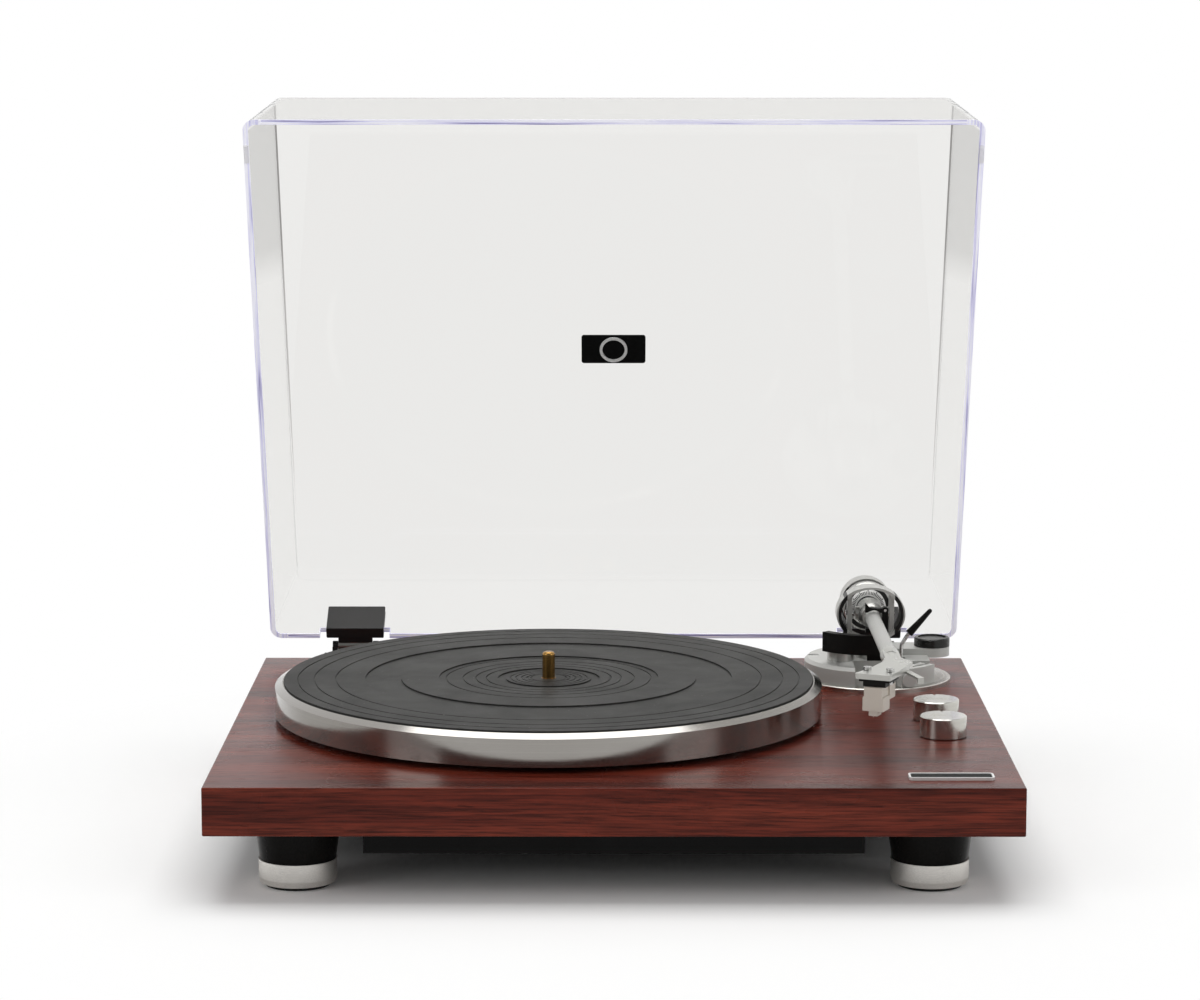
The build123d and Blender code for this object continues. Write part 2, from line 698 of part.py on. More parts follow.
def make_tray():
    """Thin black tray that closes the underside."""
    flange = cross_shape(TRAY_FLANGE, UNDER - TRAY_SHEET, UNDER)
    pan = cross_shape(0, UNDER - TRAY_DEPTH, UNDER)
    hollow = cross_shape(-TRAY_SHEET, UNDER - TRAY_DEPTH + TRAY_SHEET, UNDER + 1)
    tray = flange + pan - hollow
    for x, y in tray_screw_places():
        tray -= post(SCREW_R + SCREW_GAP, UNDER - TRAY_SHEET - 1, UNDER + 1, x, y)
    return tray


def foot_cone(x, y):
    """Glossy black upper part of a foot, with a stub that holds the ring."""
    stub_bottom = FOOT_RING_TOP - FOOT_STUB_HEIGHT
    body = cone(FOOT_CONE_BOTTOM_R, FOOT_CONE_TOP_R, FOOT_RING_TOP, FOOT_TOP, x, y)
    body += post(FOOT_STUB_R, stub_bottom, FOOT_RING_TOP, x, y)
    body -= post(FOOT_SCREW_R + SCREW_GAP, stub_bottom - 1, FOOT_TOP + 1, x, y)
    seat = FOOT_TOP - FOOT_SCREW_WALL
    return body - post(FOOT_SCREW_HEAD_R + GAP, stub_bottom - 1, seat, x, y)


def foot_ring(x, y):
    """Bright ring round the lower part of a foot."""
    taper_top = FOOT_RING_BOTTOM + FOOT_RING_TAPER
    inner = FOOT_STUB_R + SCREW_GAP
    pad_seat = FLOOR + FOOT_PAD_THICK
    pad_bore = FOOT_PAD_R + SCREW_GAP
    points = [(inner, pad_seat), (pad_bore, pad_seat), (pad_bore, FOOT_RING_BOTTOM),
              (FOOT_RING_BOTTOM_R, FOOT_RING_BOTTOM), (FOOT_RING_R, taper_top),
              (FOOT_RING_R, FOOT_RING_TOP), (inner, FOOT_RING_TOP)]
    return turned(points, x, y)


def foot_pad(x, y):
    """Rubber pad under a foot."""
    return post(FOOT_PAD_R, FLOOR, FLOOR + FOOT_PAD_THICK, x, y)


def foot_screw(x, y):
    """Screw that holds a foot to the plinth."""
    seat = FOOT_TOP - FOOT_SCREW_WALL
    length = FOOT_SCREW_WALL + FOOT_SCREW_BITE
    return screw(FOOT_SCREW_R, length, FOOT_SCREW_HEAD_R, FOOT_SCREW_HEAD, x, y, seat)


def make_platter():
    """Turned aluminium platter with a drive rim under it."""
    web_bottom = PLATTER_RECESS_Z - PLATTER_WEB
    bore = SPINDLE_LOWER_R + RUN
    skirt_r = PLATTER_R - PLATTER_SKIRT
    rim_inner = DRIVE_RIM_R - DRIVE_RIM_WALL
    points = [(bore, PLATTER_HUB_BOTTOM), (PLATTER_HUB_R, PLATTER_HUB_BOTTOM),
              (PLATTER_HUB_R, web_bottom), (rim_inner, web_bottom),
              (rim_inner, DRIVE_RIM_BOTTOM), (DRIVE_RIM_R, DRIVE_RIM_BOTTOM),
              (DRIVE_RIM_R, web_bottom), (skirt_r, web_bottom),
              (skirt_r, PLATTER_BOTTOM), (PLATTER_R, PLATTER_BOTTOM),
              (PLATTER_R, PLATTER_SIDE_TOP), (PLATTER_LIP_R, PLATTER_LIP_TOP),
              (PLATTER_RECESS_R, PLATTER_LIP_TOP), (PLATTER_RECESS_R, PLATTER_RECESS_Z),
              (bore, PLATTER_RECESS_Z)]
    return turned(points, PLATTER_X, PLATTER_Y)


def mat_outline():
    """Upper outline of the mat from its edge inwards, with its steps and grooves."""
    marks = [(r, "groove", 0.0) for r in MAT_GROOVES] + [(r, "step", dz) for r, dz in MAT_STEPS]
    level = MAT_TOP
    points = [(MAT_R, level)]
    for r, kind, dz in sorted(marks, reverse=True):
        if kind == "step":
            points += [(r, level), (r, level + dz)]
            level += dz
        else:
            outer = r + MAT_GROOVE_WIDTH / 2
            inner = r - MAT_GROOVE_WIDTH / 2
            floor = level - MAT_GROOVE_DEPTH
            points += [(outer, level), (outer, floor), (inner, floor), (inner, level)]
    return points, level


def make_mat():
    """Rubber mat with concentric steps and grooves."""
    points, level = mat_outline()
    bore = SPINDLE_LOWER_R + GAP
    points += [(bore, level), (bore, PLATTER_RECESS_Z), (MAT_R, PLATTER_RECESS_Z)]
    return turned(points, PLATTER_X, PLATTER_Y)


def make_spindle():
    """Brass spindle with the collar that carries the platter."""
    bottom = -BEARING_DEPTH + BEARING_FLOOR
    shoulder = mat_outline()[1]
    collar_bottom = PLATTER_HUB_BOTTOM - SPINDLE_COLLAR_THICK
    pin = post(SPINDLE_R, shoulder, SPINDLE_TOP, PLATTER_X, PLATTER_Y)
    pin = fillet(pin.edges().sort_by(Axis.Z)[-1], SPINDLE_DOME)
    body = post(SPINDLE_LOWER_R, bottom, shoulder, PLATTER_X, PLATTER_Y)
    body = pin + fillet(body.edges().sort_by(Axis.Z)[0], SPINDLE_DOME)
    return body + post(SPINDLE_COLLAR_R, collar_bottom, PLATTER_HUB_BOTTOM, PLATTER_X, PLATTER_Y)


def make_bearing():
    """Bearing housing in the plinth."""
    body = post(BEARING_FLANGE_R, 0, BEARING_FLANGE, PLATTER_X, PLATTER_Y)
    body += post(BEARING_R, -BEARING_DEPTH, 0, PLATTER_X, PLATTER_Y)
    bore_bottom = -BEARING_DEPTH + BEARING_FLOOR
    body -= post(SPINDLE_LOWER_R + RUN, bore_bottom, BEARING_FLANGE + 1, PLATTER_X, PLATTER_Y)
    for x, y in bearing_screw_places():
        body -= post(SCREW_R + SCREW_GAP, -1, BEARING_FLANGE + 1, x, y)
    return body


def belt_area(grow):
    """Area inside the belt's run round the drive rim and the pulley."""
    big = DRIVE_RIM_R + GAP + grow
    small = PULLEY_R + GAP + grow
    lean = math.degrees(math.acos((big - small) / BELT_CENTRES))
    a0 = BELT_ANGLE - lean
    a1 = BELT_ANGLE + lean
    corners = [polar(big, a0, PLATTER_X, PLATTER_Y), polar(small, a0, MOTOR_X, MOTOR_Y),
               polar(small, a1, MOTOR_X, MOTOR_Y), polar(big, a1, PLATTER_X, PLATTER_Y)]
    area = make_face(Polyline(*corners, close=True))
    area += Pos(PLATTER_X, PLATTER_Y) * Circle(big)
    return area + Pos(MOTOR_X, MOTOR_Y) * Circle(small)


def make_belt():
    """Flat rubber belt round the drive rim and the pulley."""
    middle = (PULLEY_BOTTOM + PULLEY_TOP) / 2
    ring = belt_area(BELT_THICK) - belt_area(0)
    return Pos(0, 0, middle - BELT_WIDTH / 2) * extrude(ring, BELT_WIDTH)


def make_pulley():
    """Flanged motor pulley pressed on its shaft."""
    low = PULLEY_BOTTOM
    high = PULLEY_TOP
    shaft_end = CEILING - MOTOR_PLATE_THICK - MOTOR_HEIGHT / 2
    points = [(0, shaft_end), (MOTOR_SHAFT_R, shaft_end), (MOTOR_SHAFT_R, low - 2),
              (PULLEY_HUB_R, low - 2), (PULLEY_HUB_R, low - PULLEY_FLANGE),
              (PULLEY_FLANGE_R, low - PULLEY_FLANGE), (PULLEY_FLANGE_R, low), (PULLEY_R, low + 0.4),
              (PULLEY_R, high - 0.4), (PULLEY_FLANGE_R, high),
              (PULLEY_FLANGE_R, high + PULLEY_FLANGE / 2), (0, high + PULLEY_FLANGE / 2)]
    return turned(points, MOTOR_X, MOTOR_Y)


def make_motor():
    """Motor can with its mounting plate and a bored boss for the shaft."""
    top = CEILING - MOTOR_PLATE_THICK
    half = MOTOR_PLATE_DEPTH / 2
    can = post(MOTOR_R, top - MOTOR_HEIGHT, top, MOTOR_X, MOTOR_Y)
    can = chamfer(can.edges().sort_by(Axis.Z)[0], 1.0)
    body = can + round_block(MOTOR_X - MOTOR_PLATE_HALF, MOTOR_X + MOTOR_PLATE_HALF,
                             MOTOR_Y - half, MOTOR_Y + half, top, CEILING, 4)
    body += post(MOTOR_BOSS_R, CEILING, CEILING + MOTOR_BOSS_HEIGHT, MOTOR_X, MOTOR_Y)
    for side in (-1, 1):
        x = MOTOR_X + side * MOTOR_SCREW_X
        body -= post(SCREW_R + SCREW_GAP, top - 1, CEILING + 1, x, MOTOR_Y)
    bore_bottom = top - MOTOR_HEIGHT / 2 - GAP
    return body - post(MOTOR_SHAFT_R + RUN, bore_bottom, 0, MOTOR_X, MOTOR_Y)


def make_knob(y):
    """Turned aluminium knob on its shaft, with a pointer notch."""
    wall = KNOB_R - KNOB_SKIRT_WALL
    points = [(0, SWITCH_SHAFT_BOTTOM), (SWITCH_SHAFT_R, SWITCH_SHAFT_BOTTOM),
              (SWITCH_SHAFT_R, KNOB_CAVITY_TOP), (wall, KNOB_CAVITY_TOP), (wall, KNOB_FLOAT),
              (KNOB_R, KNOB_FLOAT), (KNOB_R, KNOB_TOP - KNOB_CHAMFER),
              (KNOB_R - KNOB_CHAMFER, KNOB_TOP), (0, KNOB_TOP)]
    body = turned(points, KNOB_X, y)
    half = KNOB_NOTCH_WIDTH / 2
    far = y + KNOB_R + 1
    near = y + KNOB_R - KNOB_NOTCH_LENGTH
    return body - block(KNOB_X - half, KNOB_X + half, near, far, KNOB_TOP - KNOB_NOTCH_DEPTH,
                        KNOB_TOP + 1)


def make_switch(y):
    """Rotary switch body with its threaded bush and nut."""
    low = CEILING - SWITCH_BODY_HEIGHT
    body = block(KNOB_X - SWITCH_BODY_HALF, KNOB_X + SWITCH_BODY_HALF,
                 y - SWITCH_BODY_HALF, y + SWITCH_BODY_HALF, low, CEILING)
    body += post(SWITCH_BUSH_R, CEILING, SWITCH_BUSH_TOP, KNOB_X, y)
    body += Pos(KNOB_X, y, 0) * extrude(RegularPolygon(SWITCH_NUT_R, 6), SWITCH_NUT_THICK)
    for row in (-1, 0, 1):
        x = KNOB_X + row * SWITCH_BODY_HALF / 2
        body += block(x - 0.6, x + 0.6, y - 0.3, y + 0.3, low - 4, low)
    return body - post(SWITCH_SHAFT_R + RUN, SWITCH_SHAFT_BOTTOM - GAP, SWITCH_BUSH_TOP + 1, KNOB_X, y)


def badge_block(inset, height):
    """Rounded plate at the badge's place, smaller by inset all round."""
    half_x = BADGE_LENGTH / 2 - inset
    half_y = BADGE_DEPTH / 2 - inset
    return round_block(BADGE_X - half_x, BADGE_X + half_x, BADGE_Y - half_y, BADGE_Y + half_y,
                       0, height, BADGE_CORNER - inset)


def make_board():
    """Circuit board under the plinth's web."""
    top = CEILING - BOARD_DROP
    low = top - BOARD_THICK
    body = block(BOARD_X - BOARD_LENGTH / 2, BOARD_X + BOARD_LENGTH / 2,
                 BOARD_Y - BOARD_DEPTH / 2, BOARD_Y + BOARD_DEPTH / 2, low, top)
    for x, y in board_hole_places():
        body -= post(SCREW_R + SCREW_GAP, low - 1, top + 1, x, y)
    return body


def make_board_parts():
    """Spacers over the board, and capacitors, a chip and a relay under it."""
    top = CEILING - BOARD_DROP - BOARD_THICK
    parts = [post(BOARD_SPACER_R, CEILING - BOARD_DROP, CEILING, x, y)
             - post(SCREW_R + SCREW_GAP, top, 0, x, y) for x, y in board_hole_places()]
    first = BOARD_X - CAPACITOR_PITCH * (CAPACITOR_COUNT - 1) / 2
    row = BOARD_Y - BOARD_DEPTH / 4
    for index in range(CAPACITOR_COUNT):
        x = first + index * CAPACITOR_PITCH
        can = post(CAPACITOR_R, top - CAPACITOR_HEIGHT, top, x, row)
        parts.append(chamfer(can.edges().sort_by(Axis.Z)[0], 0.6))
    row = BOARD_Y + BOARD_DEPTH / 6
    x = BOARD_X - BOARD_LENGTH / 5
    parts.append(block(x - CHIP_LENGTH / 2, x + CHIP_LENGTH / 2, row - CHIP_DEPTH / 2,
                       row + CHIP_DEPTH / 2, top - CHIP_HEIGHT, top))
    x = BOARD_X + BOARD_LENGTH / 5
    parts.append(block(x - RELAY_LENGTH / 2, x + RELAY_LENGTH / 2, row - RELAY_DEPTH / 2,
                       row + RELAY_DEPTH / 2, top - RELAY_HEIGHT, top))
    return group(parts)


def make_rear_panel():
    """Socket panel on the plinth's rear face."""
    half = PANEL_LENGTH / 2
    back = PLINTH_DEPTH + PANEL_THICK
    body = block(-half, half, PLINTH_DEPTH, back, PANEL_Z - PANEL_HEIGHT / 2, PANEL_Z + PANEL_HEIGHT / 2)
    body = chamfer(body.faces().sort_by(Axis.Y)[-1].edges(), 0.6)
    low = PLINTH_DEPTH - 1
    high = back + 1
    for x in RCA_XS:
        body -= bar_y(RCA_R + SCREW_GAP, low, high, x, PANEL_Z)
    body -= bar_y(GROUND_STUD_R + SCREW_GAP, low, high, GROUND_X, PANEL_Z)
    body -= bar_y(DC_R + SCREW_GAP, low, high, DC_X, PANEL_Z)
    body -= block(SLIDE_SWITCH_X - SLIDE_SWITCH_SLOT / 2, SLIDE_SWITCH_X + SLIDE_SWITCH_SLOT / 2,
                  low, high, PANEL_Z - SLIDE_SWITCH_SLOT_HEIGHT / 2,
                  PANEL_Z + SLIDE_SWITCH_SLOT_HEIGHT / 2)
    for side in (-1, 1):
        body -= bar_y(SCREW_R + SCREW_GAP, low, high, side * (half - PANEL_SCREW_INSET), PANEL_Z)
    return body


def make_rca_sockets():
    """Pair of phono sockets with their inner nuts."""
    back = PLINTH_DEPTH + PANEL_THICK
    sockets = []
    for x in RCA_XS:
        body = bar_y(RCA_R, PLINTH_DEPTH - RCA_TAIL, back + RCA_LENGTH, x, PANEL_Z)
        body += bar_y(RCA_FLANGE_R, back, back + RCA_FLANGE, x, PANEL_Z)
        body += bar_y(RCA_FLANGE_R, PLINTH_DEPTH - RCA_NUT, PLINTH_DEPTH, x, PANEL_Z)
        body -= bar_y(RCA_BORE_R, back, back + RCA_LENGTH + 1, x, PANEL_Z)
        sockets.append(body)
    return group(sockets)


def make_ground_terminal():
    """Knurled earth terminal."""
    back = PLINTH_DEPTH + PANEL_THICK
    body = bar_y(GROUND_STUD_R, PLINTH_DEPTH - GROUND_TAIL, back + GROUND_KNOB_LENGTH, GROUND_X, PANEL_Z)
    knob = bar_y(GROUND_KNOB_R, back + 1, back + GROUND_KNOB_LENGTH, GROUND_X, PANEL_Z)
    for index in range(16):
        x, z = polar(GROUND_KNOB_R, index * 22.5, GROUND_X, PANEL_Z)
        knob -= bar_y(0.4, back, back + GROUND_KNOB_LENGTH + 1, x, z)
    washer = bar_y(GROUND_KNOB_R * 0.85, back, back + 1, GROUND_X, PANEL_Z)
    nut = bar_y(GROUND_KNOB_R * 0.8, PLINTH_DEPTH - RCA_NUT, PLINTH_DEPTH, GROUND_X, PANEL_Z)
    return body + knob + washer + nut


def make_dc_socket():
    """Round power socket with its centre pin."""
    back = PLINTH_DEPTH + PANEL_THICK
    body = bar_y(DC_R, PLINTH_DEPTH - DC_DEPTH, back + DC_PROUD, DC_X, PANEL_Z)
    body += bar_y(DC_R + 1.3, PLINTH_DEPTH - RCA_NUT, PLINTH_DEPTH, DC_X, PANEL_Z)
    body -= bar_y(DC_BORE_R, PLINTH_DEPTH - DC_DEPTH + 2, back + DC_PROUD + 1, DC_X, PANEL_Z)
    return body + bar_y(DC_PIN_R, PLINTH_DEPTH - DC_DEPTH + 1, back, DC_X, PANEL_Z)


def make_slide_switch():
    """Fixed body of the phono and line switch."""
    half_x = SLIDE_SWITCH_BODY_LENGTH / 2
    half_z = SLIDE_SWITCH_BODY_HEIGHT / 2
    body = block(SLIDE_SWITCH_X - half_x, SLIDE_SWITCH_X + half_x,
                 PLINTH_DEPTH - SLIDE_SWITCH_BODY_DEPTH, PLINTH_DEPTH,
                 PANEL_Z - half_z, PANEL_Z + half_z)
    return body - block(SLIDE_SWITCH_X - SLIDE_SWITCH_SLOT / 2, SLIDE_SWITCH_X + SLIDE_SWITCH_SLOT / 2,
                        PLINTH_DEPTH - SLIDE_SWITCH_INNER - SCREW_GAP, PLINTH_DEPTH + 1,
                        PANEL_Z - SLIDE_SWITCH_SLOT_HEIGHT / 2, PANEL_Z + SLIDE_SWITCH_SLOT_HEIGHT / 2)


def make_slider():
    """Sliding button of the rear switch, at the left end of its travel."""
    left = SLIDE_SWITCH_X - SLIDE_SWITCH_SLOT / 2 + GAP
    half_z = SLIDE_SWITCH_STEM_HEIGHT / 2
    back = PLINTH_DEPTH + PANEL_THICK + SLIDE_SWITCH_PROUD
    body = block(left, left + SLIDE_SWITCH_STEM_LENGTH, PLINTH_DEPTH - SLIDE_SWITCH_INNER, back,
                 PANEL_Z - half_z, PANEL_Z + half_z)
    for step in (1, 2, 3):
        x = left + step * SLIDE_SWITCH_STEM_LENGTH / 4
        body -= block(x - 0.2, x + 0.2, back - 0.4, back + 1, PANEL_Z - half_z - 1, PANEL_Z + half_z + 1)
    return body


def make_base_flange():
    """Brushed disc on which the arm base stands."""
    body = post(FLANGE_R, 0, FLANGE_THICK, BASE_X, BASE_Y)
    body = chamfer(body.edges().sort_by(Axis.Z)[-1], FLANGE_CHAMFER)
    body -= post(SPIGOT_R + SCREW_GAP, -1, FLANGE_THICK + 1, PIVOT_X, PIVOT_Y)
    for x, y in base_screw_places():
        body -= post(BASE_SCREW_R + SCREW_GAP, -1, FLANGE_THICK + 1, x, y)
    return body


def make_base_housing():
    """Arm base housing: drum, guard, ledge and raised platform in one casting."""
    low = FLANGE_THICK
    drum = post(DRUM_R, low, DRUM_TOP, BASE_X, BASE_Y)
    drum = chamfer(drum.edges().sort_by(Axis.Z)[-1], DRUM_BEVEL)
    drum -= block(SCOOP_LEFT, BASE_X + FLANGE_R, BASE_Y - FLANGE_R, SCOOP_REAR, low - 1, DRUM_TOP + 1)
    ledge_angle = math.degrees(math.acos((PIVOT_X - SCOOP_LEFT) / LEDGE_OUTER_R))
    ledge = sector(LEDGE_INNER_R, LEDGE_OUTER_R, 180 + ledge_angle - 4, 360 + GUARD_START + 4,
                   low, LEDGE_TOP, PIVOT_X, PIVOT_Y)
    guard = sector(GUARD_INNER_R, GUARD_OUTER_R, GUARD_START, GUARD_END, low, GUARD_TOP,
                   PIVOT_X, PIVOT_Y)
    groove_in = GUARD_GROOVE_R - GUARD_GROOVE_WIDTH / 2
    groove_out = GUARD_GROOVE_R + GUARD_GROOVE_WIDTH / 2
    guard -= sector(groove_in, groove_out, GUARD_START + 5, GUARD_END + 8,
                    GUARD_TOP - GUARD_GROOVE_DEPTH, GUARD_TOP + 1, PIVOT_X, PIVOT_Y)
    platform = post(PLATFORM_R, low, PLATFORM_TOP, PLATFORM_LEFT, PLATFORM_Y)
    platform += post(PLATFORM_R, low, PLATFORM_TOP, SKATE_X, PLATFORM_Y)
    platform += block(PLATFORM_LEFT, SKATE_X, PLATFORM_Y - PLATFORM_R, PLATFORM_Y + PLATFORM_R,
                      low, PLATFORM_TOP)
    guard += bar_y(BOSS_R, BOSS_Y - BOSS_PROUD, BOSS_Y + GUARD_OUTER_R - GUARD_INNER_R,
                   PIVOT_X + BOSS_RIGHT, BOSS_Z)
    right = block(PIVOT_X + DRUM_RIGHT_OF_PIVOT, SKATE_X + 2 * PLATFORM_R, BASE_Y - FLANGE_R,
                  BASE_Y + FLANGE_R, low - 1, PLATFORM_UNDERSIDE)
    top_right = block(PIVOT_X + DRUM_RIGHT_OF_PIVOT, SKATE_X + 2 * PLATFORM_R, BASE_Y - FLANGE_R,
                      BASE_Y + FLANGE_R, low - 1, DRUM_TOP + 1)
    body = (drum - top_right) + (platform - right) + ledge + guard
    body -= post(PILLAR_R + GAP, DRUM_TOP, PLATFORM_TOP + 1, PIVOT_X, PIVOT_Y)
    body += post(SPIGOT_R, -SPIGOT_DEPTH, low + 1, PIVOT_X, PIVOT_Y)
    body -= post(PILLAR_STEM_R + SCREW_GAP, PILLAR_STEM_BOTTOM, DRUM_TOP + 1, PIVOT_X, PIVOT_Y)
    body -= post(YOKE_SHAFT_R / 2, -SPIGOT_DEPTH - 1, PILLAR_STEM_BOTTOM + 1, PIVOT_X, PIVOT_Y)
    body -= post(SKATE_STEM_R + RUN, PLATFORM_TOP - SKATE_STEM_DEPTH, PLATFORM_TOP + 1,
                 SKATE_X, PLATFORM_Y)
    stem_bore_bottom = LIFTER_STEM_BOTTOM - GAP
    body -= post(LIFTER_STEM_R + RUN, stem_bore_bottom, DRUM_TOP + 1, CYLINDER_X, CYLINDER_Y)
    half = LEVER_SLOT_WIDTH / 2
    body -= block(LEVER_X - half, LEVER_X + half, LEVER_Y - LEVER_SLOT_FRONT,
                  LEVER_Y + LEVER_SLOT_REAR, LEVER_SLOT_FLOOR, PLATFORM_TOP + 1)
    body -= bar_x(LEVER_PIN_R + SCREW_GAP, LEVER_X - half - 3, LEVER_X + half + 3,
                  LEVER_Y, LEVER_PIVOT_Z)
    for x, y in base_screw_places():
        body -= post(BASE_SCREW_R + SCREW_GAP, low - 1, DRUM_TOP + 1, x, y)
        body -= post(BASE_SCREW_HEAD_R + SCREW_GAP, DRUM_TOP - BASE_SCREW_HEAD - GAP,
                     DRUM_TOP + 1, x, y)
    return body


def make_base_screws():
    """Screws through the housing and the flange into the plinth."""
    seat = DRUM_TOP - BASE_SCREW_HEAD - GAP
    screws = []
    for x, y in base_screw_places():
        shank = post(BASE_SCREW_R, 1 - BASE_SCREW_BITE, seat, x, y)
        screws.append(shank + post(BASE_SCREW_HEAD_R, seat, seat + BASE_SCREW_HEAD, x, y))
    return group(screws)


def make_pillar():
    """Bearing pillar of the arm."""
    body = post(PILLAR_R, DRUM_TOP, PILLAR_TOP, PIVOT_X, PIVOT_Y)
    body = chamfer(body.edges().sort_by(Axis.Z)[-1], 0.6)
    body += post(PILLAR_STEM_R, PILLAR_STEM_BOTTOM, DRUM_TOP, PIVOT_X, PIVOT_Y)
    body -= post(YOKE_SHAFT_R + RUN, YOKE_SHAFT_BOTTOM - GAP, PILLAR_TOP + 1, PIVOT_X, PIVOT_Y)
    return body


def make_lift_cylinder():
    """Damped cylinder of the arm lifter."""
    body = post(CYLINDER_R, DRUM_TOP, CYLINDER_TOP, CYLINDER_X, CYLINDER_Y)
    body = chamfer(body.edges().sort_by(Axis.Z)[-1], 0.5)
    return body - post(LIFTER_STEM_R + RUN, DRUM_TOP - 1, CYLINDER_TOP + 1, CYLINDER_X, CYLINDER_Y)


def make_lifter():
    """Curved lifter bar with its foot and stem."""
    bar = sector(LIFTER_INNER_R, LIFTER_OUTER_R, LIFTER_START, LIFTER_END,
                 LIFTER_BOTTOM, LIFTER_TOP, PIVOT_X, PIVOT_Y)
    foot_top = LIFTER_BOTTOM + LIFTER_FOOT
    out = math.degrees(math.atan2(CYLINDER_Y - PIVOT_Y, CYLINDER_X - PIVOT_X)) + 15
    target = polar((LIFTER_INNER_R + LIFTER_OUTER_R) / 2, out, PIVOT_X, PIVOT_Y)
    dx = target[0] - CYLINDER_X
    dy = target[1] - CYLINDER_Y
    reach = math.hypot(dx, dy)
    side_x = -dy / reach * LIFTER_WEB / 2
    side_y = dx / reach * LIFTER_WEB / 2
    corners = [(CYLINDER_X + side_x, CYLINDER_Y + side_y), (CYLINDER_X - side_x, CYLINDER_Y - side_y),
               (target[0] - side_x, target[1] - side_y), (target[0] + side_x, target[1] + side_y)]
    foot = plate(corners, LIFTER_BOTTOM, foot_top)
    foot += post(LIFTER_WEB / 2, LIFTER_BOTTOM, foot_top, CYLINDER_X, CYLINDER_Y)
    stem = post(LIFTER_STEM_R, LIFTER_STEM_BOTTOM, LIFTER_BOTTOM, CYLINDER_X, CYLINDER_Y)
    return bar + foot + stem


def tube_height(y):
    """Height of the arm tube's axis at a depth y."""
    return PIVOT_Z + (PIVOT_Y - y) * math.tan(math.radians(ARM_SLOPE))


def make_rest_post():
    """Arm rest post with its shelf under the tube and two cheeks for the latch."""
    x0 = POST_X - POST_WIDTH / 2
    x1 = POST_X + POST_WIDTH / 2
    y0 = POST_Y - POST_DEPTH / 2
    y1 = POST_Y + POST_DEPTH / 2
    shelf_top = tube_height(POST_Y) - TUBE_R / math.cos(math.radians(ARM_SLOPE)) - SHELF_GAP
    bridge_low = POST_FOOT_TOP - POST_BRIDGE
    body = block(x0, x1, y0, y1, bridge_low, POST_TOP)
    body += block(SHELF_LEFT, x0, y0, y1, shelf_top - SHELF_THICK, shelf_top)
    foot_front = PIVOT_Y - POST_FOOT_FRONT
    foot_rear = PIVOT_Y - POST_FOOT_REAR
    body += block(x0, x1, y0, foot_rear, bridge_low, POST_FOOT_TOP)
    body += block(PIVOT_X - POST_FOOT_LEFT, x1, foot_front, foot_rear, DRUM_TOP, POST_FOOT_TOP)
    for side in (-1, 1):
        inner = POST_Y + side * (LATCH_EYE_LENGTH / 2 + SCREW_GAP)
        outer = inner + side * LATCH_CHEEK
        low = min(inner, outer)
        high = max(inner, outer)
        body += block(x0, x1, low, high, POST_TOP, LATCH_PIN_Z)
        body += bar_y(POST_WIDTH / 2, low, high, POST_X, LATCH_PIN_Z)
    body -= bar_y(LATCH_PIN_R + SCREW_GAP / 2, y0 - 1, y1 + 1, POST_X, LATCH_PIN_Z)
    return body


def make_latch_pin():
    """Pin of the rest's latch."""
    half = LATCH_EYE_LENGTH / 2 + SCREW_GAP + LATCH_CHEEK
    return bar_y(LATCH_PIN_R, POST_Y - half, POST_Y + half, POST_X, LATCH_PIN_Z)


def make_latch():
    """Latch that arches over the tube, with a raised finger tab at its left end."""
    y1 = POST_Y + LATCH_DEPTH / 2
    clear = POST_X - POST_WIDTH / 2 - GAP
    centre_z = tube_height(POST_Y) + LATCH_RISE
    arch_r = TUBE_R + LATCH_CLEAR
    hook_x = LATCH_LEFT + LATCH_HOOK_WIDTH
    low_side = [(LATCH_LEFT, LATCH_HOOK_Z), (hook_x, LATCH_HOOK_Z)]
    for angle in (125, 108, 90, 72, 55, 42):
        low_side.append(polar(arch_r, angle, PIVOT_X, centre_z))
    low_side.append((clear, low_side[-1][1]))
    crown_z = centre_z + arch_r + LATCH_THICK
    ear_x = LATCH_LEFT + LATCH_EAR_WIDTH
    high_side = [(clear, LATCH_PIN_Z + LATCH_EYE_R / 2), (PIVOT_X, crown_z), (ear_x, crown_z + 0.4),
                 (LATCH_LEFT + LATCH_EAR_WIDTH / 4, LATCH_EAR_TOP), (LATCH_LEFT, LATCH_EAR_TOP)]
    profile = Plane.XZ * make_face(Polyline(*(low_side + high_side), close=True))
    body = Pos(0, y1, 0) * extrude(profile, LATCH_DEPTH)
    half = LATCH_EYE_LENGTH / 2
    body += block(clear - 1, POST_X, POST_Y - half, POST_Y + half, LATCH_PIN_Z - LATCH_EYE_R / 2,
                  LATCH_PIN_Z + LATCH_EYE_R / 2)
    body += bar_y(LATCH_EYE_R, POST_Y - half, POST_Y + half, POST_X, LATCH_PIN_Z)
    return body - bar_y(LATCH_PIN_R + RUN, POST_Y - half - 1, POST_Y + half + 1, POST_X, LATCH_PIN_Z)


def make_skate_dial():
    """Black anti-skate dial with its stem."""
    low = PLATFORM_TOP + GAP
    body = post(SKATE_CAP_R, low, low + SKATE_CAP_HEIGHT, SKATE_X, PLATFORM_Y)
    body = chamfer(body.edges().sort_by(Axis.Z)[-1], SKATE_CAP_CHAMFER)
    body -= post(SKATE_DISH_R, low + SKATE_CAP_HEIGHT - SKATE_DISH, low + SKATE_CAP_HEIGHT + 1,
                 SKATE_X, PLATFORM_Y)
    stem_bottom = PLATFORM_TOP - SKATE_STEM_DEPTH + GAP
    return body + post(SKATE_STEM_R, stem_bottom, low, SKATE_X, PLATFORM_Y)


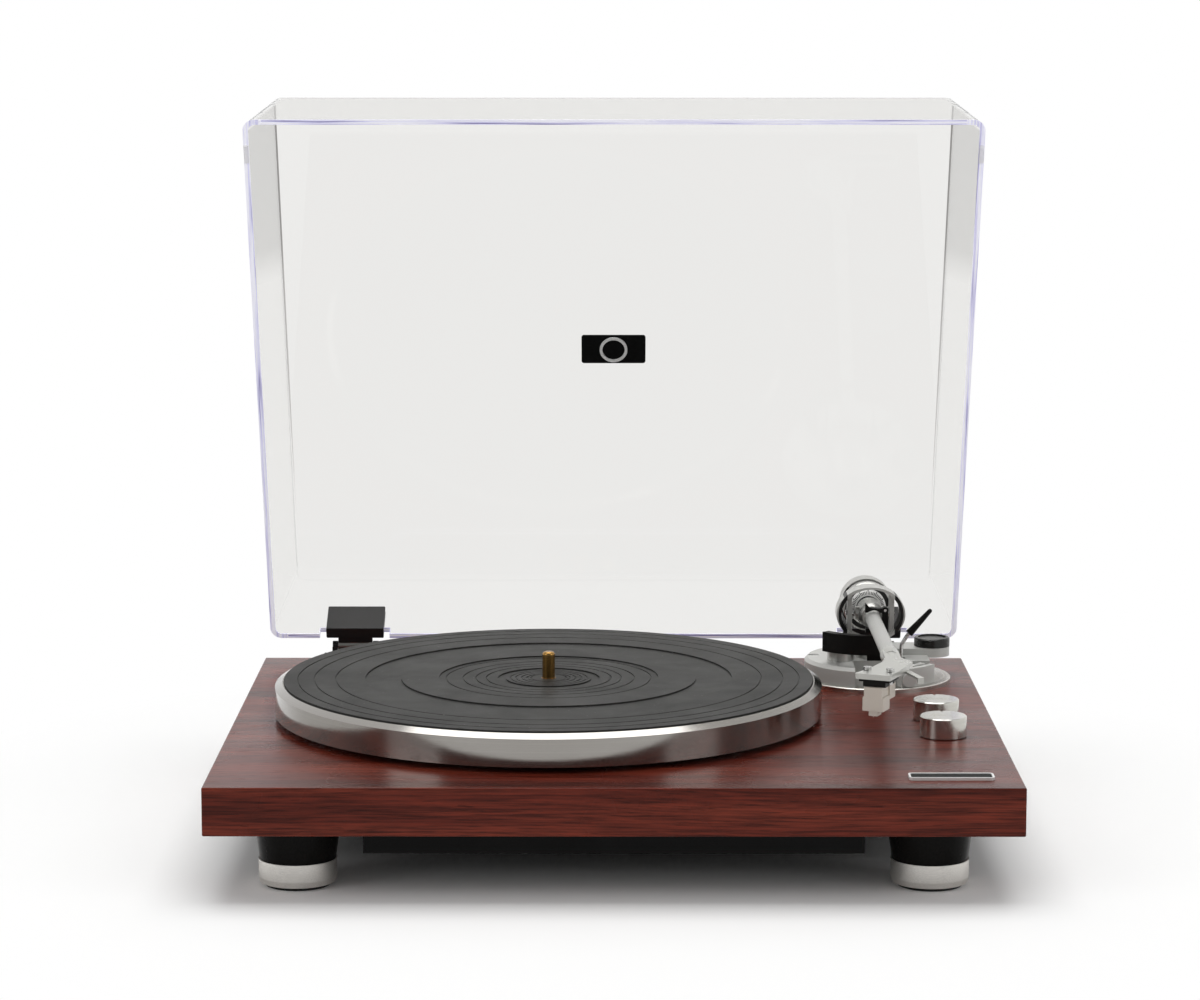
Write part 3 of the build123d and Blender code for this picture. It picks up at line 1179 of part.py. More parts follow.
LEVER_BENDS = [Vector(LEVER_X + dx, LEVER_Y, z) for dx, z in LEVER_BEND]
LEVER_END = Vector(LEVER_X + LEVER_TIP[0], LEVER_Y, LEVER_TIP[1])
LEVER_ALONG = (LEVER_END - LEVER_BENDS[-1]).normalized()
LEVER_ROD_END = LEVER_BENDS[-1] + LEVER_ALONG * LEVER_ROD_REACH


def make_lever_rod():
    """Bent steel rod of the cue lever with its eye."""
    points = [Vector(LEVER_X, LEVER_Y, LEVER_PIVOT_Z)] + LEVER_BENDS + [LEVER_ROD_END]
    path = FilletPolyline(*points, radius=LEVER_BEND_R)
    start = Plane(origin=points[0], z_dir=points[1] - points[0])
    rod = sweep(start * Circle(LEVER_ROD_R), path=path)
    half = LEVER_EYE_LENGTH / 2
    rod += bar_x(LEVER_EYE_R, LEVER_X - half, LEVER_X + half, LEVER_Y, LEVER_PIVOT_Z)
    return rod - bar_x(LEVER_PIN_R + RUN, LEVER_X - half - 1, LEVER_X + half + 1, LEVER_Y, LEVER_PIVOT_Z)


def make_lever_grip():
    """Tapered black grip on the lever's end."""
    root = LEVER_BENDS[-1] + LEVER_ALONG * LEVER_GRIP_START
    length = (LEVER_END - root).length
    place = Plane(origin=root, z_dir=LEVER_ALONG)
    body = place * Pos(0, 0, length / 2) * Cone(LEVER_GRIP_R, LEVER_GRIP_TIP_R, length)
    body += Pos(LEVER_END) * Sphere(LEVER_GRIP_TIP_R)
    depth = LEVER_ROD_REACH - LEVER_GRIP_START + GAP
    return body - place * Pos(0, 0, depth / 2) * Cylinder(LEVER_ROD_R + SCREW_GAP, depth)


def make_lever_pin():
    """Pin of the cue lever."""
    half = LEVER_SLOT_WIDTH / 2 + 2.5
    return bar_x(LEVER_PIN_R, LEVER_X - half, LEVER_X + half, LEVER_Y, LEVER_PIVOT_Z)


def make_ring():
    """Oval gimbal ring with two upright bars, a boss and the arm's upright shaft."""
    outer = Ellipse(RING_HALF_WIDTH, RING_HALF_HEIGHT)
    inner = Ellipse(RING_HALF_WIDTH - RING_WALL, RING_HALF_HEIGHT - RING_TOP_WALL)
    place = Plane(origin=(PIVOT_X, PIVOT_Y + RING_DEPTH / 2, PIVOT_Z), z_dir=(0, -1, 0), x_dir=(1, 0, 0))
    solid_oval = place * extrude(outer, RING_DEPTH)
    body = place * extrude(outer - inner, RING_DEPTH)
    for side in (-1, 1):
        edges = sorted((PIVOT_X + side * BAR_INNER, PIVOT_X + side * (BAR_INNER + BAR_WIDTH)))
        bar = block(edges[0], edges[1], PIVOT_Y - BAR_DEPTH / 2, PIVOT_Y + BAR_DEPTH / 2,
                    PIVOT_Z - RING_HALF_HEIGHT, PIVOT_Z + RING_HALF_HEIGHT)
        body += bar & solid_oval
    bottom = PILLAR_TOP + GAP
    body += post(RING_BOSS_R, bottom, PIVOT_Z - RING_HALF_HEIGHT + RING_TOP_WALL / 2, PIVOT_X, PIVOT_Y)
    body += post(YOKE_SHAFT_R, YOKE_SHAFT_BOTTOM, bottom, PIVOT_X, PIVOT_Y)
    reach = BAR_INNER + BAR_WIDTH + 1
    body -= bar_x(PIVOT_SCREW_R + SCREW_GAP, PIVOT_X - reach, PIVOT_X + reach, PIVOT_Y, PIVOT_Z)
    return body


def make_pivot_screws():
    """Pointed pivot screws with their lock nuts."""
    screws = []
    for side in (-1, 1):
        turn = Rot(0, 90 * side, 0)
        outer = BAR_INNER + BAR_WIDTH + 0.8
        shank_start = PIVOT_SCREW_TIP + PIVOT_SCREW_R
        tip = Pos(0, 0, (PIVOT_SCREW_TIP + shank_start) / 2) * Cone(
            0.2, PIVOT_SCREW_R, PIVOT_SCREW_R)
        shank = Pos(0, 0, (shank_start + outer) / 2) * Cylinder(PIVOT_SCREW_R, outer - shank_start)
        nut_start = max(PIVOT_NUT_INNER, shank_start)
        nut = Pos(0, 0, (nut_start + BAR_INNER) / 2) * Cylinder(PIVOT_NUT_R, BAR_INNER - nut_start)
        screws.append(Pos(PIVOT_X, PIVOT_Y, PIVOT_Z) * turn * (tip + shank + nut))
    return group(screws)


def make_hub():
    """Turned hub of the arm with a cup on each side for the pivot points."""
    rod_r = STUB_R + SCREW_GAP
    points = [(0, -HUB_FRONT), (HUB_FRONT_R, -HUB_FRONT), (HUB_FRONT_R, -HUB_FRONT + HUB_NOSE / 2),
              (HUB_R, -HUB_FRONT + HUB_NOSE), (HUB_R, HUB_REAR - 1), (HUB_R - 1, HUB_REAR), (0, HUB_REAR)]
    body = turned_back(points)
    body += bar_x(HUB_BOSS_R, PIVOT_X - HUB_BOSS_REACH, PIVOT_X + HUB_BOSS_REACH, PIVOT_Y, PIVOT_Z)
    for side in (-1, 1):
        depth = HUB_CUP_DEPTH
        cup = Pos(0, 0, HUB_BOSS_REACH - depth / 2) * Cone(HUB_CUP_R / 2, HUB_CUP_R, depth)
        body -= Pos(PIVOT_X, PIVOT_Y, PIVOT_Z) * Rot(0, 90 * side, 0) * cup
    body -= bar_y(TUBE_R, PIVOT_Y - HUB_FRONT - 1, PIVOT_Y - HUB_FRONT + TUBE_SOCKET, PIVOT_X, PIVOT_Z)
    body -= bar_y(rod_r, PIVOT_Y + HUB_REAR - TUBE_SOCKET, PIVOT_Y + HUB_REAR + 1, PIVOT_X, PIVOT_Z)
    return body.rotate(TILT, -ARM_SLOPE)


def make_tube():
    """Arm tube."""
    near = PIVOT_Y - HUB_FRONT + TUBE_SOCKET
    body = bar_y(TUBE_R, TUBE_END_Y, near, PIVOT_X, PIVOT_Z)
    body -= bar_y(TUBE_R - TUBE_WALL, TUBE_END_Y - 1, near + 1, PIVOT_X, PIVOT_Z)
    return body.rotate(TILT, -ARM_SLOPE)


def make_stub():
    """Threaded rear stub that carries the counterweight."""
    start = PIVOT_Y + HUB_REAR - TUBE_SOCKET
    body = bar_y(STUB_R, start, PIVOT_Y + STUB_END, PIVOT_X, PIVOT_Z)
    body = chamfer(body.edges().sort_by(Axis.Y)[-1], 0.6)
    return body.rotate(TILT, -ARM_SLOPE)


def make_carrier():
    """Threaded carrier that moves along the stub with the counterweight."""
    bore = STUB_R + RUN
    points = [(bore, CARRIER_START), (CARRIER_LIP_R, CARRIER_START),
              (CARRIER_LIP_R, CARRIER_START + CARRIER_LIP), (CARRIER_R, CARRIER_START + CARRIER_LIP),
              (CARRIER_R, CARRIER_END), (bore, CARRIER_END)]
    return turned_back(points).rotate(TILT, -ARM_SLOPE)


def make_weight():
    """Counterweight with a dark groove round it and a bored rear."""
    bore = CARRIER_R + RUN
    groove_end = WEIGHT_GROOVE_START + WEIGHT_GROOVE_WIDTH
    recess = WEIGHT_END - WEIGHT_RECESS
    points = [(bore, WEIGHT_START), (WEIGHT_R - WEIGHT_EDGE, WEIGHT_START),
              (WEIGHT_R, WEIGHT_START + WEIGHT_EDGE), (WEIGHT_R, WEIGHT_GROOVE_START),
              (WEIGHT_GROOVE_R, WEIGHT_GROOVE_START), (WEIGHT_GROOVE_R, groove_end),
              (WEIGHT_REAR_R, groove_end), (WEIGHT_REAR_R, WEIGHT_END - WEIGHT_EDGE),
              (WEIGHT_REAR_R - WEIGHT_EDGE, WEIGHT_END), (WEIGHT_RECESS_R, WEIGHT_END),
              (WEIGHT_RECESS_R, recess), (bore, recess)]
    return turned_back(points).rotate(TILT, -ARM_SLOPE)


def make_dial():
    """Tracking-force dial in front of the counterweight."""
    bore = CARRIER_LIP_R + RUN
    end = DIAL_START + DIAL_LENGTH
    points = [(bore, DIAL_START), (DIAL_FACE_R, DIAL_START), (DIAL_R, DIAL_START + DIAL_BEVEL),
              (DIAL_R, end), (bore, end)]
    return turned_back(points).rotate(TILT, -ARM_SLOPE)


HEAD_PLANE = Plane(origin=(HEAD_FRONT_X, HEAD_FRONT_Y, 0),
                   x_dir=(math.cos(math.radians(HEAD_TURN)), -math.sin(math.radians(HEAD_TURN)), 0),
                   z_dir=(0, 0, 1))


def head_point(across, back):
    """Point in plan, across and back from the middle of the headshell's front edge."""
    spot = HEAD_PLANE.from_local_coords(Vector(across, back, 0))
    return (spot.X, spot.Y)


def head_block(half, back0, back1, z0, z1):
    """Box in line with the turned headshell."""
    corners = [head_point(-half, back0), head_point(half, back0),
               head_point(half, back1), head_point(-half, back1)]
    return plate(corners, z0, z1)


def head_slot_places():
    """Slot centres for the cartridge's screws."""
    return [head_point(side * HEAD_SLOT_PITCH / 2, HEAD_SLOT_BACK) for side in (-1, 1)]


def make_headshell():
    """Headshell plate, turned towards the platter, with a collar on the tube's end."""
    half = HEAD_WIDTH / 2
    corners = [head_point(-half, 0), head_point(half, 0), head_point(half, HEAD_LENGTH),
               (HEAD_WING_X, HEAD_WING_Y), (PIVOT_X + TUBE_R, HEAD_NECK_Y),
               (PIVOT_X + TUBE_R, TUBE_END_Y), (PIVOT_X - TUBE_R, TUBE_END_Y),
               (PIVOT_X - TUBE_R, HEAD_NECK_Y), (PIVOT_X - TUBE_R * 1.6, HEAD_NECK_FRONT),
               head_point(-half + 3, HEAD_LENGTH)]
    body = plate(corners, HEAD_BOTTOM, HEAD_TOP)
    body = fillet(body.edges().filter_by(Axis.Z), 0.8)
    collar_z = tube_height(TUBE_END_Y)
    body += bar_y(HEAD_COLLAR_R, TUBE_END_Y, TUBE_END_Y + HEAD_COLLAR_LENGTH, PIVOT_X, collar_z)
    body += cone_y(TUBE_R, HEAD_COLLAR_R, TUBE_END_Y - HEAD_COLLAR_TAPER, TUBE_END_Y, PIVOT_X, collar_z)
    body += cone_y(HEAD_RIB_TIP_R, TUBE_R, HEAD_NECK_FRONT, TUBE_END_Y, PIVOT_X, collar_z)
    bore = bar_y(TUBE_R, TUBE_END_Y, PIVOT_Y, PIVOT_X, PIVOT_Z).rotate(TILT, -ARM_SLOPE)
    body -= bore
    straight = (HEAD_SLOT_LENGTH - HEAD_SLOT_WIDTH) / 2
    for side in (-1, 1):
        across = side * HEAD_SLOT_PITCH / 2
        front = HEAD_SLOT_BACK - straight
        back = HEAD_SLOT_BACK + straight
        left = across - HEAD_SLOT_WIDTH / 2
        right = across + HEAD_SLOT_WIDTH / 2
        sides = [head_point(left, front), head_point(right, front),
                 head_point(right, back), head_point(left, back)]
        body -= plate(sides, HEAD_BOTTOM - 1, HEAD_TOP + 1)
        for end in (front, back):
            body -= post(HEAD_SLOT_WIDTH / 2, HEAD_BOTTOM - 1, HEAD_TOP + 1, *head_point(across, end))
    return body


def make_finger_lift():
    """Finger lift: a thin bar beside the headshell with its tip turned down."""
    dx = LIFT_TIP_X - LIFT_ROOT_X
    dy = LIFT_TIP_Y - LIFT_ROOT_Y
    reach = math.hypot(dx, dy)
    side_x = -dy / reach * LIFT_WIDTH / 2
    side_y = dx / reach * LIFT_WIDTH / 2
    end_x = dx / reach * LIFT_THICK
    end_y = dy / reach * LIFT_THICK
    high = HEAD_BOTTOM
    low = HEAD_BOTTOM - LIFT_THICK
    root = [(LIFT_ROOT_X + side_x, LIFT_ROOT_Y + side_y), (LIFT_ROOT_X - side_x, LIFT_ROOT_Y - side_y)]
    tip = [(LIFT_TIP_X - side_x, LIFT_TIP_Y - side_y), (LIFT_TIP_X + side_x, LIFT_TIP_Y + side_y)]
    beyond = [(x + end_x, y + end_y) for x, y in tip]
    bar = plate(root + tip, low, high)
    return bar + plate([tip[1], tip[0], beyond[0], beyond[1]], low - LIFT_TIP_DROP, high)


def make_head_screws():
    """Screws through the headshell's slots into the cartridge."""
    screws = []
    for x, y in head_slot_places():
        shank = post(CART_SCREW_R, HEAD_BOTTOM - CART_MOUNT_HEIGHT + 0.5, HEAD_TOP, x, y)
        head = post(CART_SCREW_HEAD_R, HEAD_TOP, HEAD_TOP + CART_SCREW_HEAD, x, y)
        slot = Pos(x, y, HEAD_TOP + CART_SCREW_HEAD) * Rot(0, 0, HEAD_TURN) * Box(
            2 * CART_SCREW_HEAD_R, 0.6, 1.0)
        screws.append(shank + head - slot)
    return group(screws)


def make_cart_mount():
    """Black upper part of the cartridge."""
    low = HEAD_BOTTOM - CART_MOUNT_HEIGHT
    start = CART_SET_BACK + 2
    body = head_block(CART_MOUNT_WIDTH / 2, start, start + CART_MOUNT_LENGTH,
                      HEAD_BOTTOM - CART_MOUNT_PLATE, HEAD_BOTTOM)
    body += head_block(CART_NECK_WIDTH / 2, start, start + CART_MOUNT_LENGTH, low, HEAD_BOTTOM)
    for x, y in head_slot_places():
        body -= post(CART_SCREW_R + SCREW_GAP, low - 1, HEAD_BOTTOM + 1, x, y)
    return body


def make_cart_body():
    """Pale rear part of the cartridge, with its four contact pins."""
    top = HEAD_BOTTOM - CART_MOUNT_HEIGHT
    start = CART_SET_BACK + STYLUS_LENGTH
    end = start + CART_BODY_LENGTH
    body = head_block(CART_BODY_WIDTH / 2, start, end, CART_BODY_BOTTOM, top)
    for side in (-1, 1):
        for z in (top - 2, top - 5.5):
            x, y = head_point(side * CART_BODY_WIDTH / 4, end)
            pin = Pos(x, y, z) * Rot(0, 0, -HEAD_TURN) * Rot(-90, 0, 0) * Pos(0, 0, CART_PIN_LENGTH / 2)
            body += pin * Cylinder(CART_PIN_R, CART_PIN_LENGTH)
    return body


def make_stylus_block():
    """Pale replaceable stylus block with its stepped nose, cantilever and tip."""
    top = HEAD_BOTTOM - CART_MOUNT_HEIGHT
    start = CART_SET_BACK
    end = start + STYLUS_LENGTH
    body = head_block(STYLUS_UPPER_WIDTH / 2, start, end, STYLUS_SHOULDER_Z, top)
    body += head_block(STYLUS_LOWER_WIDTH / 2, start, end, STYLUS_BOTTOM_Z, STYLUS_SHOULDER_Z)
    nose_start = start + 0.6
    nose = head_block(STYLUS_NOSE_WIDTH / 2, nose_start, nose_start + STYLUS_NOSE_LENGTH,
                      STYLUS_NOSE_Z, STYLUS_BOTTOM_Z)
    channel = head_block(STYLUS_NOSE_WIDTH / 2 - 1, nose_start + 1.2,
                         nose_start + STYLUS_NOSE_LENGTH + 1, STYLUS_NOSE_Z - 1, STYLUS_BOTTOM_Z - 0.4)
    body = body + nose - channel
    root_z = STYLUS_BOTTOM_Z - CANTILEVER_R
    x0, y0 = head_point(0, nose_start + STYLUS_NOSE_LENGTH - 1)
    x1, y1 = head_point(0, nose_start + STYLUS_NOSE_LENGTH - 1 - CANTILEVER_LENGTH)
    start = Vector(x0, y0, root_z)
    end = Vector(x1, y1, STYLUS_TIP_Z + 1.2)
    rod = Plane(origin=start, z_dir=end - start) * Pos(0, 0, (end - start).length / 2) * Cylinder(
        CANTILEVER_R, (end - start).length)
    tip = cone(0.12, CANTILEVER_R, STYLUS_TIP_Z, STYLUS_TIP_Z + 1.2, x1, y1)
    foot = post(CANTILEVER_R, root_z - CANTILEVER_R, STYLUS_BOTTOM_Z + 0.1, x0, y0)
    return body + rod + tip + foot


def lid_shell(inset, z0, z1):
    """Tapered block of the closed lid's outline, smaller by inset all round."""
    share0 = (z0 - LID_FLOAT) / LID_HEIGHT
    share1 = (z1 - LID_FLOAT) / LID_HEIGHT
    outlines = []
    for z, share in ((z0, share0), (z1, share1)):
        half = LID_WIDTH / 2 - LID_SIDE_TAPER * share - inset
        back = LID_REAR_Y - LID_REAR_TAPER * share - inset
        front = LID_REAR_Y - LID_LENGTH + LID_FRONT_TAPER * share + inset
        middle = Pos(0, (front + back) / 2, z)
        outlines.append(middle * RectangleRounded(2 * half, back - front, LID_CORNER - inset))
    return loft(outlines)


def make_lid():
    """Clear dust cover, closed, with two notches for its hinges."""
    low = LID_FLOAT
    high = LID_FLOAT + LID_HEIGHT
    body = lid_shell(0, low, high)
    body = fillet(body.faces().sort_by(Axis.Z)[-1].edges(), LID_EDGE)
    body -= lid_shell(LID_SHEET, low - 1, high - LID_SHEET)
    for side in (-1, 1):
        body -= block(side * HINGE_X - NOTCH_HALF, side * HINGE_X + NOTCH_HALF,
                      LID_REAR_Y - 2 * LID_SHEET, LID_REAR_Y + 1, low - 1, low + NOTCH_HEIGHT)
    return body


def make_bumpers():
    """Soft bumpers under the lid's side rims, near the front corners."""
    front = LID_REAR_Y - LID_LENGTH + BUMPER_BACK
    middle = LID_WIDTH / 2 - LID_SHEET / 2
    return group([block(side * middle - BUMPER_WIDTH / 2, side * middle + BUMPER_WIDTH / 2,
                        front - BUMPER_LENGTH / 2, front + BUMPER_LENGTH / 2,
                        LID_FLOAT - BUMPER_THICK, LID_FLOAT) for side in (-1, 1)])


def emblem_place():
    """Middle of the emblem's plate in plan, on the closed lid."""
    return LID_REAR_Y - EMBLEM_BACK


def make_emblem_plate():
    """Bare black plate on the lid's inner face."""
    ceiling = LID_FLOAT + LID_HEIGHT - LID_SHEET
    y = emblem_place()
    return round_block(-EMBLEM_LENGTH / 2, EMBLEM_LENGTH / 2, y - EMBLEM_HEIGHT / 2,
                       y + EMBLEM_HEIGHT / 2, ceiling - EMBLEM_THICK, ceiling, EMBLEM_CORNER)


def make_emblem_ring():
    """Bare bright ring on the plate."""
    high = LID_FLOAT + LID_HEIGHT - LID_SHEET - EMBLEM_THICK
    y = emblem_place()
    low = high - EMBLEM_RING_HEIGHT
    return post(EMBLEM_RING_R - 0.6, low, high, 0, y) - post(
        EMBLEM_RING_R - EMBLEM_RING_WALL - 0.6, low - 1, high + 1, 0, y)


def make_clip(side):
    """Hinge clip on the closed lid: a slotted block, its neck and its knuckle."""
    x = side * HINGE_X
    lean = math.degrees(math.atan2(LID_REAR_TAPER, LID_HEIGHT))
    base_z = LID_FLOAT + CLIP_BOTTOM
    outer = LID_REAR_Y + CLIP_OUTER
    inner = outer - CLIP_THICK
    body = block(x - CLIP_HALF, x + CLIP_HALF, inner, outer, base_z, base_z + CLIP_LENGTH)
    body = fillet(body.edges().filter_by(Axis.Z), 0.8)
    slot_floor = LID_FLOAT + NOTCH_HEIGHT
    slot = block(x - CLIP_HALF - 1, x + CLIP_HALF + 1, LID_REAR_Y - LID_SHEET - SCREW_GAP,
                 LID_REAR_Y + SCREW_GAP, slot_floor, base_z + CLIP_LENGTH + 1)
    body = (body - slot).rotate(Axis((0, LID_REAR_Y, LID_FLOAT), (1, 0, 0)), lean)
    foot_y = (inner + outer) / 2
    dy = HINGE_Y - foot_y
    dz = HINGE_Z - base_z
    reach = math.hypot(dy, dz)
    off_y = -dz / reach * HINGE_NECK_THICK / 2
    off_z = dy / reach * HINGE_NECK_THICK / 2
    rise = HINGE_NECK_THICK / 2 + 0.6
    corners = [(foot_y + off_y, base_z + rise + off_z), (foot_y - off_y, base_z + rise - off_z),
               (HINGE_Y - off_y, HINGE_Z - off_z), (HINGE_Y + off_y, HINGE_Z + off_z)]
    profile = Plane.YZ * make_face(Polyline(*corners, close=True))
    neck = Pos(x - HINGE_NECK_HALF, 0, 0) * extrude(profile, 2 * HINGE_NECK_HALF)
    neck -= slot.rotate(Axis((0, LID_REAR_Y, LID_FLOAT), (1, 0, 0)), lean)
    body += neck
    body += bar_x(HINGE_KNUCKLE_R, x - HINGE_KNUCKLE_HALF, x + HINGE_KNUCKLE_HALF, HINGE_Y, HINGE_Z)
    return body - bar_x(HINGE_PIN_R + RUN, x - CLIP_HALF, x + CLIP_HALF, HINGE_Y, HINGE_Z)


def make_bracket(side):
    """Hinge bracket on the plinth's rear face, with two ears and two tabs."""
    x = side * HINGE_X
    back = PLINTH_DEPTH + HINGE_PLATE_THICK
    ear_in = HINGE_KNUCKLE_HALF + GAP
    ear_out = ear_in + HINGE_EAR_WIDTH
    ear_r = HINGE_KNUCKLE_R - 0.2
    body = block(x - HINGE_PLATE_HALF, x + HINGE_PLATE_HALF, PLINTH_DEPTH, back, -HINGE_PLATE_DROP, 0)
    for end in (-1, 1):
        edges = sorted((x + end * (ear_in + 0.4), x + end * HINGE_PLATE_HALF))
        body += block(edges[0], edges[1], PLINTH_DEPTH - HINGE_TAB_DEPTH, back, 0, HINGE_TAB_THICK)
        edges = sorted((x + end * ear_in, x + end * ear_out))
        body += block(edges[0], edges[1], back, HINGE_Y + ear_r, -HINGE_EAR_BOTTOM, HINGE_Z)
        body += bar_x(ear_r, edges[0], edges[1], HINGE_Y, HINGE_Z)
        body -= bar_y(SCREW_R + SCREW_GAP, PLINTH_DEPTH - 1, back + 1,
                      x + end * HINGE_SCREW_X, HINGE_SCREW_Z)
    return body - bar_x(HINGE_PIN_R + SCREW_GAP / 2, x - ear_out - 1, x + ear_out + 1, HINGE_Y, HINGE_Z)


def make_hinge_pins():
    """Steel hinge pins."""
    half = HINGE_KNUCKLE_HALF + GAP + HINGE_EAR_WIDTH
    return group([bar_x(HINGE_PIN_R, side * HINGE_X - half, side * HINGE_X + half, HINGE_Y, HINGE_Z)
                  for side in (-1, 1)])


def make_pan_screws():
    """Identical pan-head screws that hold the tray, motor, board, bearing, panel and hinges."""
    up = [(x, y, UNDER - TRAY_SHEET) for x, y in tray_screw_places()]
    motor_z = CEILING - MOTOR_PLATE_THICK
    up += [(MOTOR_X + side * MOTOR_SCREW_X, MOTOR_Y, motor_z) for side in (-1, 1)]
    up += [(x, y, CEILING - BOARD_DROP - BOARD_THICK) for x, y in board_hole_places()]
    pieces = [screw(SCREW_R, SCREW_LENGTH, SCREW_HEAD_R, SCREW_HEAD, x, y, z) for x, y, z in up]
    for x, y in bearing_screw_places():
        upside_down = screw(SCREW_R, SCREW_LENGTH, SCREW_HEAD_R, SCREW_HEAD, 0, 0, 0)
        pieces.append(Pos(x, y, BEARING_FLANGE) * Rot(180, 0, 0) * upside_down)
    across = PANEL_LENGTH / 2 - PANEL_SCREW_INSET
    back = PLINTH_DEPTH + PANEL_THICK
    rear = [(side * across, PANEL_Z, back) for side in (-1, 1)]
    back = PLINTH_DEPTH + HINGE_PLATE_THICK
    rear += [(side * HINGE_X + end * HINGE_SCREW_X, HINGE_SCREW_Z, back)
             for side in (-1, 1) for end in (-1, 1)]
    for x, z, y in rear:
        level = screw(SCREW_R, SCREW_LENGTH, SCREW_HEAD_R, SCREW_HEAD, 0, 0, 0)
        pieces.append(Pos(x, y, z) * Rot(90, 0, 0) * level)
    return group(pieces)


def opened(shape):
    """Turn a closed dust-cover piece to the open position."""
    return shape.rotate(Axis((0, HINGE_Y, HINGE_Z), (1, 0, 0)), -LID_OPEN)


PIECES = {
    "plinth": make_plinth(),
    "bottom_tray": make_tray(),
    "foot_cones": group([foot_cone(x, y) for x, y in FOOT_PLACES]),
    "foot_rings": group([foot_ring(x, y) for x, y in FOOT_PLACES]),
    "foot_pads": group([foot_pad(x, y) for x, y in FOOT_PLACES]),
    "foot_screws": group([foot_screw(x, y) for x, y in FOOT_PLACES]),
    "platter": make_platter(),
    "slip_mat": make_mat(),
    "spindle": make_spindle(),
    "bearing_housing": make_bearing(),
    "drive_belt": make_belt(),
    "motor_pulley": make_pulley(),
    "motor_body": make_motor(),
    "speed_knob": make_knob(SPEED_KNOB_Y),
    "power_knob": make_knob(POWER_KNOB_Y),
    "switch_bodies": group([make_switch(SPEED_KNOB_Y), make_switch(POWER_KNOB_Y), make_slide_switch()]),
    "badge_rim": badge_block(0, BADGE_RIM_HEIGHT) - badge_block(BADGE_RIM_WIDTH, BADGE_RIM_HEIGHT + 1),
    "badge_plate": badge_block(BADGE_RIM_WIDTH, BADGE_FACE_HEIGHT),
    "circuit_board": make_board(),
    "board_parts": make_board_parts(),
    "rear_panel": make_rear_panel(),
    "phono_sockets": make_rca_sockets(),
    "ground_terminal": make_ground_terminal(),
    "power_socket": make_dc_socket(),
    "slide_switch_button": make_slider(),
    "arm_base_flange": make_base_flange(),
    "arm_base_housing": make_base_housing(),
    "arm_base_screws": make_base_screws(),
    "arm_pillar": make_pillar(),
    "lift_cylinder": make_lift_cylinder(),
    "lifter_bar": make_lifter(),
    "arm_rest_post": make_rest_post(),
    "arm_latch": make_latch(),
    "lever_pins": group([make_latch_pin(), make_lever_pin()]),
    "anti_skate_dial": make_skate_dial(),
    "cue_lever_rod": make_lever_rod(),
    "cue_lever_grip": make_lever_grip(),
    "gimbal_ring": make_ring(),
    "pivot_screws": make_pivot_screws(),
    "pivot_hub": make_hub(),
    "arm_tube": make_tube(),
    "rear_stub": make_stub(),
    "weight_carrier": make_carrier(),
    "counterweight": make_weight(),
    "tracking_dial": make_dial(),
    "headshell": make_headshell(),
    "finger_lift": make_finger_lift(),
    "headshell_screws": make_head_screws(),
    "cartridge_mount": make_cart_mount(),
    "cartridge_body": make_cart_body(),
    "stylus_block": make_stylus_block(),
    "hinge_brackets": group([make_bracket(side) for side in (-1, 1)]),
    "hinge_pins": make_hinge_pins(),
    "pan_screws": make_pan_screws(),
    "dust_cover": opened(make_lid()),
    "lid_bumpers": opened(make_bumpers()),
    "lid_emblem_plate": opened(make_emblem_plate()),
    "lid_emblem_ring": opened(make_emblem_ring()),
    "hinge_clips": opened(group([make_clip(side) for side in (-1, 1)])),
}

reach = PIECES["dust_cover"].bounding_box().max.Y
HOME = Location((0, -reach / 2, -FLOOR))


def at_home(point):
    """Point moved from the drawing's frame to the part's frame."""
    return tuple(round(value, 3) for value in (Vector(*point) + Vector(0, -reach / 2, -FLOOR)))


print("moved by", -reach / 2, -FLOOR)
print("platter axis", at_home((PLATTER_X, PLATTER_Y, 0)))
print("motor axis", at_home((MOTOR_X, MOTOR_Y, 0)))
print("speed knob", at_home((KNOB_X, SPEED_KNOB_Y, 0)))
print("power knob", at_home((KNOB_X, POWER_KNOB_Y, 0)))
print("arm pivot", at_home((PIVOT_X, PIVOT_Y, PIVOT_Z)))
print("anti-skate", at_home((SKATE_X, PLATFORM_Y, PLATFORM_TOP)))
print("lever pivot", at_home((LEVER_X, LEVER_Y, LEVER_PIVOT_Z)))
print("latch pivot", at_home((POST_X, POST_Y, LATCH_PIN_Z)))
print("lifter", at_home((CYLINDER_X, CYLINDER_Y, LIFTER_BOTTOM)))
print("hinge", at_home((HINGE_X, HINGE_Y, HINGE_Z)))
print("spindle shoulder", at_home((PLATTER_X, PLATTER_Y, mat_outline()[1])))
print("spindle top", at_home((PLATTER_X, PLATTER_Y, SPINDLE_TOP)))
print("phono socket", at_home((RCA_XS[0], PLINTH_DEPTH + PANEL_THICK, PANEL_Z)))
print("nodes", len(PIECES))

os.makedirs("parts", exist_ok=True)
for name, shape in PIECES.items():
    export_step(HOME * shape, "parts/" + name + ".step")
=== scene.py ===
import logging
import math
from dataclasses import dataclass
from enum import Enum
from typing import ClassVar, Iterable

import bmesh
import bpy
from mathutils import Matrix, Vector


